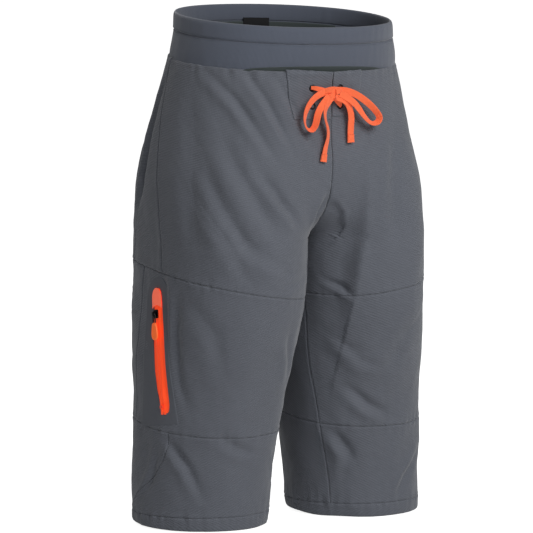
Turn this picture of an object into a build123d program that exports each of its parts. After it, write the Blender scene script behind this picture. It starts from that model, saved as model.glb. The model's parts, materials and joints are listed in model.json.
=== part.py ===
"""Padded impact shorts: a long woven outer shell over a mesh liner that carries foam pads.

Millimetres. +Z is up, -Y is the front and +X is the wearer's left. The shorts stand on their two
hems at z = 0, with the origin under the middle of the garment.
"""

import functools
import math
import os

from build123d import *

os.makedirs("parts", exist_ok=True)

# ---------------------------------------------------------------------------------------------
# Driving dimensions
# ---------------------------------------------------------------------------------------------

# Girth of one leg and half of the seat: height, centre, outer x, inner x, front y, back y and
# squareness of the oval. Above the crotch the oval runs past the middle and is cut off there.
GIRTHS = [
    (0, 120, 209, 31, -82, 100, 2.0),
    (72, 116, 207, 24, -85, 103, 2.05),
    (130, 110, 203, 17, -91, 105, 2.1),
    (168, 107, 201, 12, -97, 109, 2.15),
    (212, 103, 199, 6, -110, 121, 2.3),
    (312, 97, 191.5, 1.5, -132, 135, 2.5),
    (362, 94, 190, 0.8, -135, 135, 2.5),
    (378, 92, 189, -0.5, -135, 135, 2.5),
    (412, 86, 189, -38, -134, 135, 2.45),
    (452, 74, 188, -118, -132, 134, 2.35),
    (490, 52, 184, -184, -129, 132, 2.2),
    (552, 16, 172, -172, -125, 125, 2.1),
    (614, 0, 160, -160, -125, 117, 2.1),
    (646, 0, 152, -152, -125, 112, 2.1),
]

# Girth of the waistband: height, half width, front y and back y.
WAIST_GIRTHS = [
    (570, 168.5, -125, 122.5),
    (614, 160, -125, 117),
    (646, 152, -125, 112),
    (672, 150, -124, 111),
    (705, 150, -124, 111),
]
WAIST_SQUARENESS = 2.1
GIRTH_POINTS = 20
GIRTH_KNOTS = [step / GIRTH_POINTS for step in range(GIRTH_POINTS + 1)]

CLOTH = 1.2  # shell cloth with its turned seam allowances
SEAM_GAP = 0.4
RISE_TILT = 0.12  # the waist climbs this much per millimetre towards the back

WAIST_TOP = 668
CASING_FOOT = 646
SHELL_TOP = 611
KNIT_FOOT = 603
HEM_DEPTH = 18

INSEAM_Y = {"left": -48, "right": -14}

LINER_INSET = 17
LINER_FOOT = 240
LINER_CLOTH = 0.8
PAD_OUTER = 5
PAD_INNER = 15

EYELET_XS = (-29, 12)
EYELET_ZS = (552, 575)
EYELET_RADIUS = 4.7
EYELET_BARREL = 2.9
EYELET_BORE = 2.2
PATCH_PROUD = 0.9

LACE_TUBE = 1.5  # radius of the plain tube that stands for the flat lace

ZIP_MIDDLE = Vector(-196.7, -18, 233)
ZIP_LENGTH = 162
ZIP_TAPE = 14.5  # width of each tape
SLIDER_UP = 49  # the closed slider's place along the zip, above its middle


# ---------------------------------------------------------------------------------------------
# Shared geometry
# ---------------------------------------------------------------------------------------------

def oval(centre, outer, inner, front, back, squareness, inset):
    """Points of a rounded oval that stands inset inside the stated girth."""
    middle = (front + back) / 2
    depth = (back - front) / 2 - inset
    points = []
    for step in range(GIRTH_POINTS):
        angle = 2 * math.pi * step / GIRTH_POINTS
        reach = math.copysign(abs(math.cos(angle)) ** (2 / squareness), math.cos(angle))
        side = math.copysign(abs(math.sin(angle)) ** (2 / squareness), math.sin(angle))
        half_width = outer - centre - inset if reach > 0 else centre - inner - inset
        points.append((centre + reach * half_width, middle + side * depth))
    return points


def girth(outline):
    """A closed curve with evenly spaced knots, so that all girths of a body agree."""
    return Edge.make_spline(outline, periodic=True, parameters=GIRTH_KNOTS)


@functools.cache
def leg_body(inset):
    """A solid left leg and half seat, inset inside the shell's outer face."""
    with BuildPart() as body:
        for height, centre, outer, inner, front, back, squareness in GIRTHS:
            own_inset = inset(height) if callable(inset) else inset
            with BuildSketch(Plane.XY.offset(height)):
                with BuildLine():
                    add(girth(oval(centre, outer, inner, front, back, squareness, own_inset)))
                make_face()
        loft()
        split(bisect_by=Plane.YZ.offset(SEAM_GAP / 2), keep=Keep.TOP)
    return body.part


@functools.cache
def waist_body(inset):
    """A solid waist, inset inside the waistband's outer face."""
    with BuildPart() as body:
        for height, half_width, front, back in WAIST_GIRTHS:
            with BuildSketch(Plane.XY.offset(height)):
                with BuildLine():
                    add(girth(oval(0, half_width, -half_width, front, back, WAIST_SQUARENESS, inset)))
                make_face()
        loft()
    return body.part


def layer(body, outer, inner):
    """The closed skin between two insets of the same body."""
    with BuildPart() as skin:
        add(body(outer))
        add(body(inner), mode=Mode.SUBTRACT)
    return skin.part


def sloped(height):
    """A seam plane that climbs towards the back as the waist does."""
    return Plane(origin=(0, 0, height), x_dir=(1, 0, 0), z_dir=(0, -RISE_TILT, 1))


def seam(side, outer, lower, inner):
    """A seam plane through three points given for the left leg, its normal to the back."""
    sign = 1 if side == "left" else -1
    first, second, third = [Vector(sign * x, y, z) for x, y, z in (outer, lower, inner)]
    normal = (second - first).cross(third - first).normalized()
    if normal.Y < 0:
        normal = normal * -1
    return Plane(origin=first, z_dir=normal)


def trimmed(stock, cuts):
    """The stock cut along seam planes, half a seam gap short of each one."""
    with BuildPart() as panel:
        add(stock)
        for plane, keep in cuts:
            shift = SEAM_GAP / 2 if keep == Keep.TOP else -SEAM_GAP / 2
            split(bisect_by=plane.offset(shift), keep=keep)
    return panel.part


def save(part, label):
    """Write one finished piece as its own node."""
    part.label = label
    export_step(part, f"parts/{label}.step")


ABOVE, BELOW = Keep.TOP, Keep.BOTTOM
BEHIND, BEFORE = Keep.TOP, Keep.BOTTOM

left_shell = layer(leg_body, 0, CLOTH)
shells = {"left": left_shell, "right": mirror(left_shell, about=Plane.YZ)}

waist_seam = sloped(SHELL_TOP)
knee_seam = sloped(133)
yoke_seams = {
    "left": Plane(origin=(0, 0, 308), z_dir=(-0.15, -0.11, 1)),
    "right": Plane(origin=(0, 0, 308), z_dir=(0.15, -0.11, 1)),
}
wedge_seam = Plane(origin=(0, 21, 600), z_dir=(0, 1, 0.24))
hem_seam = Plane.XY.offset(HEM_DEPTH)


# ---------------------------------------------------------------------------------------------
# Zip of the right thigh pocket: its own plane, x across, y up along the teeth, z outwards
# ---------------------------------------------------------------------------------------------

zip_up = Vector(4, 24, 162).normalized()
outward = Vector(-0.996, -0.084, 0.06)
zip_out = (outward - zip_up * outward.dot(zip_up)).normalized()
zip_across = zip_up.cross(zip_out)
zip_plane = Plane(origin=ZIP_MIDDLE, x_dir=zip_across, z_dir=zip_out)

with BuildPart() as zip_opening:
    with BuildSketch(zip_plane.offset(-14)):
        Rectangle(2 * ZIP_TAPE + 2, ZIP_LENGTH + 4)
    extrude(amount=28)

for name, sign in (("zip_tape_front", 1), ("zip_tape_back", -1)):
    with BuildPart() as zip_tape:
        with BuildSketch(zip_plane.offset(-1.6)):
            with Locations((sign * (ZIP_TAPE / 2 + 0.2), 0)):
                Rectangle(ZIP_TAPE - 0.4, ZIP_LENGTH)
        extrude(amount=0.8)
    save(zip_tape.part, name)

with BuildPart() as zip_coils:
    with BuildSketch(zip_plane.offset(-0.6)):
        with Locations((1.3, -1), (-1.3, -1)):
            Rectangle(2.1, ZIP_LENGTH - 12)
    extrude(amount=1.3)
save(zip_coils.part, "zip_coils")

with BuildPart() as zip_bottom_stop:
    with BuildSketch(zip_plane.offset(0.9)):
        with Locations((0, -ZIP_LENGTH / 2 + 9)):
            RectangleRounded(6.5, 3.5, 0.8)
    extrude(amount=1)
save(zip_bottom_stop.part, "zip_bottom_stop")

with BuildPart() as zip_garage:
    with BuildSketch(zip_plane.offset(0.9)):
        with Locations((0, ZIP_LENGTH / 2 - 13)):
            RectangleRounded(19, 24, 6)
    extrude(amount=1.6)
    fillet(zip_garage.faces().sort_by(Axis(ZIP_MIDDLE, zip_out))[-1].edges(), 0.6)
save(zip_garage.part, "zip_garage")

PIVOT_HEIGHT = 5.4
BRIDGE_HALF = 1.1
pull_pivot = ZIP_MIDDLE + zip_up * SLIDER_UP + zip_out * PIVOT_HEIGHT
pivot_plane = Plane(origin=pull_pivot, x_dir=zip_up, z_dir=zip_across)

with BuildPart() as zip_slider:
    with BuildSketch(zip_plane.offset(1.1)):
        with Locations((0, SLIDER_UP)):
            RectangleRounded(8.6, 11.5, 2)
    extrude(amount=2)
    with BuildSketch(pivot_plane.offset(-BRIDGE_HALF)):
        with Locations((0, -0.4)):
            RectangleRounded(7.4, 5.4, 1.8)
    extrude(amount=2 * BRIDGE_HALF)
    with BuildSketch(pivot_plane.offset(-3)):
        Circle(1.25)
    extrude(amount=6, mode=Mode.SUBTRACT)
save(zip_slider.part, "zip_slider")

PULL_LOOP_LENGTH = 15
PULL_LOOP_WIDTH = 5.2
with BuildPart() as pull_loop:
    with BuildLine(Plane(origin=pull_pivot, x_dir=zip_across, z_dir=zip_out)) as loop_path:
        FilletPolyline(
            (-PULL_LOOP_WIDTH / 2, 0),
            (PULL_LOOP_WIDTH / 2, 0),
            (PULL_LOOP_WIDTH / 2, -PULL_LOOP_LENGTH),
            (-PULL_LOOP_WIDTH / 2, -PULL_LOOP_LENGTH),
            radius=1.2,
            close=True,
        )
    with BuildSketch(Plane(origin=loop_path.line @ 0, z_dir=loop_path.line % 0)):
        Circle(0.7)
    sweep()
save(pull_loop.part, "pull_loop")

with BuildPart() as pull_tab:
    with BuildSketch(Plane(origin=pull_pivot - zip_out * 1.7, x_dir=zip_across, z_dir=zip_out)):
        with BuildLine():
            Polyline((-3, -PULL_LOOP_LENGTH + 3), (3, -PULL_LOOP_LENGTH + 3), (6.4, -24))
            ThreePointArc((6.4, -24), (0, -34), (-6.4, -24))
            Line((-6.4, -24), (-3, -PULL_LOOP_LENGTH + 3))
        make_face()
    extrude(amount=3.4)
    add(pull_loop.part, mode=Mode.SUBTRACT)
save(pull_tab.part, "pull_tab")

surround_skin = mirror(layer(leg_body, -PATCH_PROUD, -0.2), about=Plane.YZ)
with BuildPart() as zip_surround:
    add(surround_skin)
    with BuildSketch(zip_plane.offset(-20)):
        with BuildLine():
            Polyline((20, -96), (20, 20), (30, 60))
            ThreePointArc((30, 60), (0, 98), (-30, 60))
            Polyline((-30, 60), (-52, -96), (20, -96))
        make_face()
        Rectangle(2 * ZIP_TAPE + 2, ZIP_LENGTH + 4, mode=Mode.SUBTRACT)
    extrude(amount=40, mode=Mode.INTERSECT)
    split(bisect_by=knee_seam.offset(SEAM_GAP), keep=ABOVE)
save(zip_surround.part, "zip_surround")

with BuildPart() as pocket_bag:
    add(mirror(layer(leg_body, 3.2, 5), about=Plane.YZ))
    with BuildSketch(zip_plane.offset(-30)):
        RectangleRounded(110, 190, 20)
    extrude(amount=60, mode=Mode.INTERSECT)
save(pocket_bag.part, "pocket_bag")


# ---------------------------------------------------------------------------------------------
# Fly: patches, facings, under-flap, hook-and-loop and eyelets
# ---------------------------------------------------------------------------------------------

with BuildPart() as eyelet_holes:
    with BuildSketch(Plane.XZ.offset(60)):
        with Locations(*[(x, z) for x in EYELET_XS for z in EYELET_ZS]):
            Circle(EYELET_BARREL + 0.15)
    extrude(amount=140)


def front_piece(skin, outline, bored=True):
    """The front of a skin inside an outline drawn as seen from the front (x, z)."""
    with BuildPart() as piece:
        add(skin)
        with BuildSketch(Plane.XZ.offset(60)):
            with BuildLine():
                Polyline(*outline, close=True)
            make_face()
        extrude(amount=120, mode=Mode.INTERSECT)
        if bored:
            add(eyelet_holes.part, mode=Mode.SUBTRACT)
    return piece.part


left_patch_skin = layer(leg_body, -PATCH_PROUD, -0.15)
right_patch_skin = mirror(left_patch_skin, about=Plane.YZ)
patch_outlines = {
    "right": (right_patch_skin, [(-66, 600), (-57, 535), (-0.5, 534), (-0.5, 600)]),
    "left": (left_patch_skin, [(0.5, 600), (0.5, 538), (40, 539), (48, 600)]),
}
for side, (skin, outline) in patch_outlines.items():
    patch = front_piece(trimmed(skin, [(waist_seam.offset(-3), BELOW)]), outline)
    save(patch, f"eyelet_patch_{side}")

left_facing_skin = layer(leg_body, 1.6, 2.4)
facing_skins = {"left": left_facing_skin, "right": mirror(left_facing_skin, about=Plane.YZ)}
for side, sign in (("left", 1), ("right", -1)):
    facing_outline = [(sign * 0.5, 484), (sign * 22, 500), (sign * 44, 535), (sign * 44, 584), (sign * 0.5, 584)]
    save(front_piece(facing_skins[side], facing_outline), f"fly_facing_{side}")

loop_skin = layer(leg_body, 5.2, 6.4)
save(front_piece(loop_skin, [(16, 500), (25, 500), (25, 540), (16, 540)]), "fly_loop_tape")
hook_skin = layer(leg_body, 3.6, 4.8)
save(front_piece(hook_skin, [(16, 500), (25, 500), (25, 540), (16, 540)]), "fly_hook_tape")
flap_skin = layer(leg_body, 6.8, 7.6)
save(front_piece(flap_skin, [(1, 488), (30, 488), (30, 584), (1, 584)], bored=False), "fly_under_flap")

with BuildPart() as eyelets:
    for x in EYELET_XS:
        for z in EYELET_ZS:
            with BuildSketch(Plane(origin=(x, -126.2, z), x_dir=(1, 0, 0), z_dir=(0, -1, 0))):
                Circle(EYELET_RADIUS)
                Circle(EYELET_BORE, mode=Mode.SUBTRACT)
            extrude(amount=0.8)
            with BuildSketch(Plane(origin=(x, -121.2, z), x_dir=(1, 0, 0), z_dir=(0, -1, 0))):
                Circle(EYELET_BARREL)
                Circle(EYELET_BORE, mode=Mode.SUBTRACT)
            extrude(amount=5)
save(eyelets.part, "eyelets")


# ---------------------------------------------------------------------------------------------
# Lace: two loops, two tails, their folded ends, the knot and the runs between the eyelets
# ---------------------------------------------------------------------------------------------

LACE_ROUTES = {
    "lace_loop_right": [
        (-11, -133, 571), (-23, -135, 569), (-37, -136, 560), (-46, -136, 547), (-48, -135, 533),
        (-44, -134, 523), (-36, -134, 520), (-31, -136, 528), (-29, -137, 542), (-22, -138, 555),
        (-11, -137, 565),
    ],
    "lace_loop_left": [
        (3, -133, 572), (15, -135, 572), (32, -136, 566), (49, -137, 555), (62, -136, 544),
        (69, -135, 535), (65, -134, 528), (54, -135, 528), (42, -137, 538), (31, -139, 551),
        (19, -139, 561), (5, -137, 568),
    ],
    "lace_tail_left": [
        (0, -136, 563), (10, -138, 558), (18, -136, 548), (22, -134, 536), (22, -132, 523),
        (23, -132, 511),
    ],
    "lace_tail_right": [
        (-7, -136, 563), (-15, -138, 555), (-18, -137, 544), (-15, -135, 532), (-10, -133, 521),
        (-10, -132, 509), (-14, -132, 497), (-16, -132.5, 486),
    ],
}


def arc_radii(route):
    """The largest even arc for each corner of a route."""
    radii = []
    for before, corner, after in zip(route, route[1:], route[2:]):
        arriving = Vector(*corner) - Vector(*before)
        leaving = Vector(*after) - Vector(*corner)
        turn = math.radians(arriving.get_angle(leaving))
        shorter = min(arriving.length, leaving.length)
        radii.append(0.45 * shorter / math.tan(turn / 2))
    return radii


for name, route in LACE_ROUTES.items():
    radii = arc_radii(route)
    with BuildPart() as lace:
        with BuildLine() as lace_path:
            FilletPolyline(*route, radius=radii)
        with BuildSketch(Plane(origin=lace_path.line @ 0, z_dir=lace_path.line % 0)):
            Circle(LACE_TUBE)
        sweep(transition=Transition.ROUND)
    save(lace.part, name)
    plain_volume = math.pi * LACE_TUBE**2 * lace_path.wire().length
    print(name, "length", round(lace_path.wire().length, 1), "volume ratio", round(lace.part.volume / plain_volume, 3))
    print("  radii", [round(radius, 1) for radius in radii])

with BuildPart() as lace_knot:
    with BuildSketch(Plane.XZ.offset(129)):
        with Locations((-4, 568)):
            RectangleRounded(11, 9, 3)
    extrude(amount=9)
    fillet(lace_knot.faces().sort_by(Axis.Y)[0].edges(), 2)
    for name in LACE_ROUTES:
        add(import_step(f"parts/{name}.step"), mode=Mode.SUBTRACT)
save(lace_knot.part, "lace_knot")

with BuildPart() as lace_end_tabs:
    for x, z in ((23, 505.5), (-16.5, 481)):
        with BuildSketch(Plane.XZ.offset(130.8)):
            with Locations((x, z)):
                RectangleRounded(9, 9, 1)
        extrude(amount=2.4)
save(lace_end_tabs.part, "lace_end_tabs")

with BuildPart() as lace_crossings:
    for start, end in (((-29, 575), (-10, 569)), ((12, 552), (1, 563))):
        middle = ((start[0] + end[0]) / 2, (start[1] + end[1]) / 2)
        run = Vector(end[0] - start[0], 0, end[1] - start[1])
        with BuildSketch(Plane(origin=(middle[0], -127.3, middle[1]), x_dir=run, z_dir=(0, -1, 0))):
            Rectangle(run.length, 6)
        extrude(amount=1.2)
save(lace_crossings.part, "lace_crossings")


# ---------------------------------------------------------------------------------------------
# Outer shell: panels cut from one skin by their seams
# ---------------------------------------------------------------------------------------------

for side in ("left", "right"):
    inseam_y = INSEAM_Y[side]
    side_seam = seam(side, (190, -8, 400), (160, 21, 606), (4, inseam_y, 300))
    thigh_seam = seam(side, (200, 41, 200), (200, 41, 300), (15, inseam_y, 230))
    cuff_seam = seam(side, (196, -36, 116), (201, 46, 22), (40, inseam_y, 70))
    yoke_seam = yoke_seams[side]
    skin = shells[side]
    panels = {
        "seat_front": [(waist_seam, BELOW), (yoke_seam, ABOVE), (side_seam, BEFORE)],
        "seat_back": [(waist_seam, BELOW), (yoke_seam, ABOVE), (side_seam, BEHIND)],
        "thigh_front": [(yoke_seam, BELOW), (knee_seam, ABOVE), (thigh_seam, BEFORE)],
        "thigh_back": [(yoke_seam, BELOW), (knee_seam, ABOVE), (thigh_seam, BEHIND)],
        "cuff_front": [(knee_seam, BELOW), (hem_seam, ABOVE), (cuff_seam, BEFORE)],
        "cuff_back": [(knee_seam, BELOW), (hem_seam, ABOVE), (cuff_seam, BEHIND)],
    }
    with BuildPart() as wedge_space:
        with BuildSketch(Plane.XY.offset(280)):
            with Locations((140 if side == "left" else -140, 0)):
                Rectangle(160, 300)
        extrude(amount=380)
        split(bisect_by=wedge_seam.offset(-SEAM_GAP / 2), keep=BEFORE)
    with BuildPart() as side_wedge:
        add(trimmed(skin, panels["seat_back"]))
        add(wedge_space.part, mode=Mode.INTERSECT)
    save(side_wedge.part, f"side_wedge_{side}")
    for name, cuts in panels.items():
        with BuildPart() as panel:
            add(trimmed(skin, cuts))
            if name == "seat_back":
                add(offset(wedge_space.part, SEAM_GAP, mode=Mode.PRIVATE), mode=Mode.SUBTRACT)
            if name == "seat_front":
                add(eyelet_holes.part, mode=Mode.SUBTRACT)
            if name == "thigh_front" and side == "right":
                add(zip_opening.part, mode=Mode.SUBTRACT)
        save(panel.part, f"{name}_{side}")

hem_skin = layer(leg_body, 0, 2.2)
for side in ("left", "right"):
    with BuildPart() as hem:
        add(hem_skin if side == "left" else mirror(hem_skin, about=Plane.YZ))
        split(bisect_by=hem_seam.offset(-SEAM_GAP / 2), keep=BELOW)
    save(hem.part, f"hem_{side}")


# ---------------------------------------------------------------------------------------------
# Waistband: elastic in its casing, knit band, back facing and blank size label
# ---------------------------------------------------------------------------------------------

with BuildPart() as waist_casing:
    add(trimmed(layer(waist_body, -0.8, 3.2), [(sloped(CASING_FOOT), ABOVE), (sloped(WAIST_TOP), BELOW)]))
    tunnel = [(sloped(CASING_FOOT + 2), ABOVE), (sloped(WAIST_TOP - 2), BELOW)]
    add(trimmed(layer(waist_body, 0.2, 2.2), tunnel), mode=Mode.SUBTRACT)
save(waist_casing.part, "waist_casing")

elastic_cuts = [(sloped(CASING_FOOT + 2.5), ABOVE), (sloped(WAIST_TOP - 2.5), BELOW)]
save(trimmed(layer(waist_body, 0.6, 1.8), elastic_cuts), "waist_elastic")

knit_cuts = [(sloped(KNIT_FOOT), ABOVE), (sloped(CASING_FOOT), BELOW)]
save(trimmed(layer(waist_body, 3, 4.2), knit_cuts), "waist_knit_band")

facing_cuts = [(sloped(KNIT_FOOT + 6), ABOVE), (sloped(CASING_FOOT - 1), BELOW), (Plane.XZ.offset(-30), BELOW)]
save(trimmed(layer(waist_body, 4.6, 5.4), facing_cuts), "waist_back_facing")

with BuildPart() as size_label:
    add(layer(waist_body, 5.7, 6.3))
    with BuildSketch(Plane.XZ.offset(-60)):
        with Locations((30, 638)):
            Rectangle(40, 24)
    extrude(amount=-90, mode=Mode.INTERSECT)
save(size_label.part, "size_label")


# ---------------------------------------------------------------------------------------------
# Liner and impact pads
# ---------------------------------------------------------------------------------------------

def liner_inset(extra):
    """The liner stands off the shell below the hips and closes up to the waistband."""
    def at_height(height):
        return min(LINER_INSET, 5.6 + max(0, 616 - height) * 0.22) + extra
    return at_height


liner_cuts = [(Plane.XY.offset(LINER_FOOT), ABOVE), (sloped(SHELL_TOP - 4), BELOW)]
left_liner = trimmed(layer(leg_body, liner_inset(0), liner_inset(LINER_CLOTH)), liner_cuts)
save(left_liner, "liner_left")
save(mirror(left_liner, about=Plane.YZ), "liner_right")

pad_skin = layer(leg_body, PAD_OUTER + 1, PAD_INNER)
with BuildPart() as hip_pad:
    add(pad_skin)
    with BuildSketch(Plane.YZ.offset(60)):
        with Locations((2, 470)):
            Ellipse(58, 74)
    extrude(amount=200, mode=Mode.INTERSECT)
save(hip_pad.part, "hip_pad_left")
save(mirror(hip_pad.part, about=Plane.YZ), "hip_pad_right")

with BuildPart() as thigh_pad:
    add(pad_skin)
    with BuildSketch(Plane(origin=(100, 4, 312), x_dir=(0.64, 0.77, 0), z_dir=(0.77, -0.64, 0))):
        Ellipse(44, 56)
    extrude(amount=200, mode=Mode.INTERSECT)
save(thigh_pad.part, "thigh_pad_left")
save(mirror(thigh_pad.part, about=Plane.YZ), "thigh_pad_right")

with BuildPart() as tailbone_pad:
    add(pad_skin)
    with BuildSketch(Plane.XZ.offset(-40)):
        with Locations((0, 492)):
            Ellipse(46, 54)
    extrude(amount=-160, mode=Mode.INTERSECT)
    mirror(about=Plane.YZ)
save(tailbone_pad.part, "tailbone_pad")

print("zip axis down", [round(value, 4) for value in -zip_up])
print("pull pivot", [round(value, 2) for value in pull_pivot], "axis", [round(value, 4) for value in -zip_across])
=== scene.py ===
"""The looks of a pair of padded impact shorts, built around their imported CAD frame.

The garment is described in millimetres, as a tailor would, and turned into metres where a mesh is
made. +Z is up, -Y is the front and +X is the wearer's left.
"""

import json
import logging
import math
from collections.abc import Callable, Sequence
from dataclasses import dataclass, field
from enum import Enum

import bmesh
import bpy
import numpy as np
from mathutils import Matrix, Vector
from mathutils.bvhtree import BVHTree

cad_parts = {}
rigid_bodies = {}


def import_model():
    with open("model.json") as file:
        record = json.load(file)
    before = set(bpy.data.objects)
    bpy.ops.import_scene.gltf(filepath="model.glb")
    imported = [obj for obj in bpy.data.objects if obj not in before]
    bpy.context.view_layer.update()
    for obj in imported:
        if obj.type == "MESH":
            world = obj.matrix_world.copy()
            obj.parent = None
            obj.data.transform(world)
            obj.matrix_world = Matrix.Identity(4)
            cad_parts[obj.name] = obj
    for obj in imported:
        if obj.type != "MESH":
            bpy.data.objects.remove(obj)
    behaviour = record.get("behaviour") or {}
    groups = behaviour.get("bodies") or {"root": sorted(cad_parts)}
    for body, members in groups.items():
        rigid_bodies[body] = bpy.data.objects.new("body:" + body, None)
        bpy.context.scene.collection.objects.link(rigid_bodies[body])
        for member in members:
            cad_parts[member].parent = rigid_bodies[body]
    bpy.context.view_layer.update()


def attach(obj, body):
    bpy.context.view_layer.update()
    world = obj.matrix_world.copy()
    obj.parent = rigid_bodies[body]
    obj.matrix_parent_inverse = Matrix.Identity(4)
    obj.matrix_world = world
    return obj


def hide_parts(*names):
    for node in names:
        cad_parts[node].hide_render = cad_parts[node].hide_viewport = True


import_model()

LOG = logging.getLogger("shorts")
MM = 0.001
SHORTS_BODY = "shorts"
LEG_ROUND, WAIST_ROUND = 640.0, 880.0
FRONT_START = -190.0
PULL_BODY = "pull"


class Side(Enum):
    """The wearer's side; the value is the sign of X."""

    LEFT = 1
    RIGHT = -1

    @property
    def word(self) -> str:
        """The side's name in a node's name."""
        return self.name.lower()


class Weave(Enum):
    """How a cloth's threads show."""

    TWILL = "twill"
    PLAIN = "plain"
    RIB = "rib"
    MESH = "mesh"
    TAPE = "tape"


# ---------------------------------------------------------------------------------------------
# Finishes
# ---------------------------------------------------------------------------------------------


class NodeBoard:
    """A short way to lay out one material's shader nodes."""

    def __init__(self, name: str) -> None:
        """Start a material with an empty board but for its shader and output."""
        self.material = bpy.data.materials.new(name)
        self.material.use_nodes = True
        self.tree = self.material.node_tree
        self.shader = next(node for node in self.tree.nodes if node.type == "BSDF_PRINCIPLED")

    def add(self, kind: str, **settings: object) -> bpy.types.Node:
        """Add a node and set its properties.

        Args:
            kind: The node's Blender type.
            settings: Properties of the node, by name.

        Returns:
            The new node.
        """
        node = self.tree.nodes.new(kind)
        for name, value in settings.items():
            setattr(node, name, value)
        return node

    def link(self, source: bpy.types.NodeSocket, target: bpy.types.NodeSocket) -> None:
        """Join two sockets."""
        self.tree.links.new(source, target)

    def math(self, operation: str, first: object, second: object = 0.0) -> bpy.types.NodeSocket:
        """Add a Math node.

        Args:
            operation: The Math operation.
            first: A socket or a number.
            second: A socket or a number.

        Returns:
            The node's result.
        """
        node = self.add("ShaderNodeMath", operation=operation)
        for slot, value in enumerate((first, second)):
            if isinstance(value, bpy.types.NodeSocket):
                self.link(value, node.inputs[slot])
            else:
                node.inputs[slot].default_value = value
        return node.outputs[0]

    def noise(self, vector: bpy.types.NodeSocket, scale: float, detail: float = 3.0) -> bpy.types.NodeSocket:
        """Add a noise pattern and return its value."""
        node = self.add("ShaderNodeTexNoise")
        node.inputs["Scale"].default_value = scale
        node.inputs["Detail"].default_value = detail
        self.link(vector, node.inputs["Vector"])
        return node.outputs["Fac"]

    def wave(self, coordinate: bpy.types.NodeSocket, period: float) -> bpy.types.NodeSocket:
        """A smooth wave from 0 to 1 along a coordinate in metres, of the given period."""
        turned = self.math("MULTIPLY", coordinate, 2 * math.pi / period)
        return self.math("MULTIPLY", self.math("ADD", self.math("SINE", turned), 1.0), 0.5)

    def tint(
        self, factor: bpy.types.NodeSocket, low: Sequence[float], high: Sequence[float]
    ) -> bpy.types.NodeSocket:
        """Blend between two colours by a factor."""
        ramp = self.add("ShaderNodeValToRGB")
        ramp.color_ramp.elements[0].color = (*low, 1)
        ramp.color_ramp.elements[1].color = (*high, 1)
        self.link(factor, ramp.inputs[0])
        return ramp.outputs[0]

    def bump(self, height: bpy.types.NodeSocket, depth: float, strength: float = 1.0) -> None:
        """Raise the shader's surface by a height map, depth metres for its whole range."""
        node = self.add("ShaderNodeBump")
        node.inputs["Distance"].default_value = depth
        node.inputs["Strength"].default_value = strength
        self.link(height, node.inputs["Height"])
        self.link(node.outputs[0], self.shader.inputs["Normal"])


@dataclass(frozen=True)
class ClothFinish:
    """A woven or knitted cloth, its threads laid along the piece's own UV map in metres."""

    name: str
    colour: tuple[float, float, float]
    weave: Weave
    pitch: float
    depth: float
    roughness: float = 0.82
    sheen: float = 0.25
    mottle: float = 0.07
    # Strength of painted light: the cloth glows in its own colour, though it is no lamp.
    glow: float = 0.0

    def build(self) -> bpy.types.Material:
        """Make the material.

        Returns:
            The finished material.
        """
        board = NodeBoard(self.name)
        uv = board.add("ShaderNodeUVMap", uv_map="cloth").outputs[0]
        place = board.add("ShaderNodeTexCoord").outputs["Object"]
        parts = board.add("ShaderNodeSeparateXYZ")
        board.link(uv, parts.inputs[0])
        across, along = parts.outputs[0], parts.outputs[1]
        threads = self.threads(board, across, along)
        slubs = board.noise(place, 900.0, 2.0)
        height = board.math("ADD", threads, board.math("MULTIPLY", slubs, 0.5))
        board.bump(height, self.depth)
        soft = board.noise(place, 14.0, 4.0)
        # The colour: random mottle, and painted shade that is darker in the threads' valleys and lighter on
        # their crests.
        mottle_and_thread_shade = board.math("ADD", board.math("MULTIPLY", soft, 0.45), board.math("MULTIPLY", threads, 0.55))
        dark = [channel * (1 - 2 * self.mottle) for channel in self.colour]
        light = [min(1.0, channel * (1 + 2 * self.mottle)) for channel in self.colour]
        board.link(board.tint(mottle_and_thread_shade, dark, light), board.shader.inputs["Base Color"])
        board.shader.inputs["Roughness"].default_value = self.roughness
        board.shader.inputs["Sheen Weight"].default_value = self.sheen
        board.shader.inputs["Sheen Roughness"].default_value = 0.5
        board.shader.inputs["Specular IOR Level"].default_value = 0.25
        # Painted light: the finish glows in its own colour.
        board.shader.inputs["Emission Color"].default_value = (*self.colour, 1)
        board.shader.inputs["Emission Strength"].default_value = self.glow
        return board.material

    def threads(
        self, board: NodeBoard, across: bpy.types.NodeSocket, along: bpy.types.NodeSocket
    ) -> bpy.types.NodeSocket:
        """The thread pattern as a height from 0 to 1.

        Args:
            board: The material's board.
            across: Distance around the garment, in metres.
            along: Distance up the garment, in metres.

        Returns:
            The height.
        """
        if self.weave is Weave.RIB:
            return board.wave(across, self.pitch)
        if self.weave is Weave.TWILL:
            diagonal = board.math("ADD", board.math("MULTIPLY", across, 0.45), along)
            rib = board.wave(diagonal, self.pitch)
            fine = board.wave(across, self.pitch * 0.45)
            return board.math("ADD", board.math("MULTIPLY", rib, 0.75), board.math("MULTIPLY", fine, 0.25))
        warp = board.wave(across, self.pitch)
        weft = board.wave(along, self.pitch)
        if self.weave is Weave.MESH:
            return board.math("MULTIPLY", warp, weft)
        return board.math("ADD", board.math("MULTIPLY", warp, 0.5), board.math("MULTIPLY", weft, 0.5))


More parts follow.
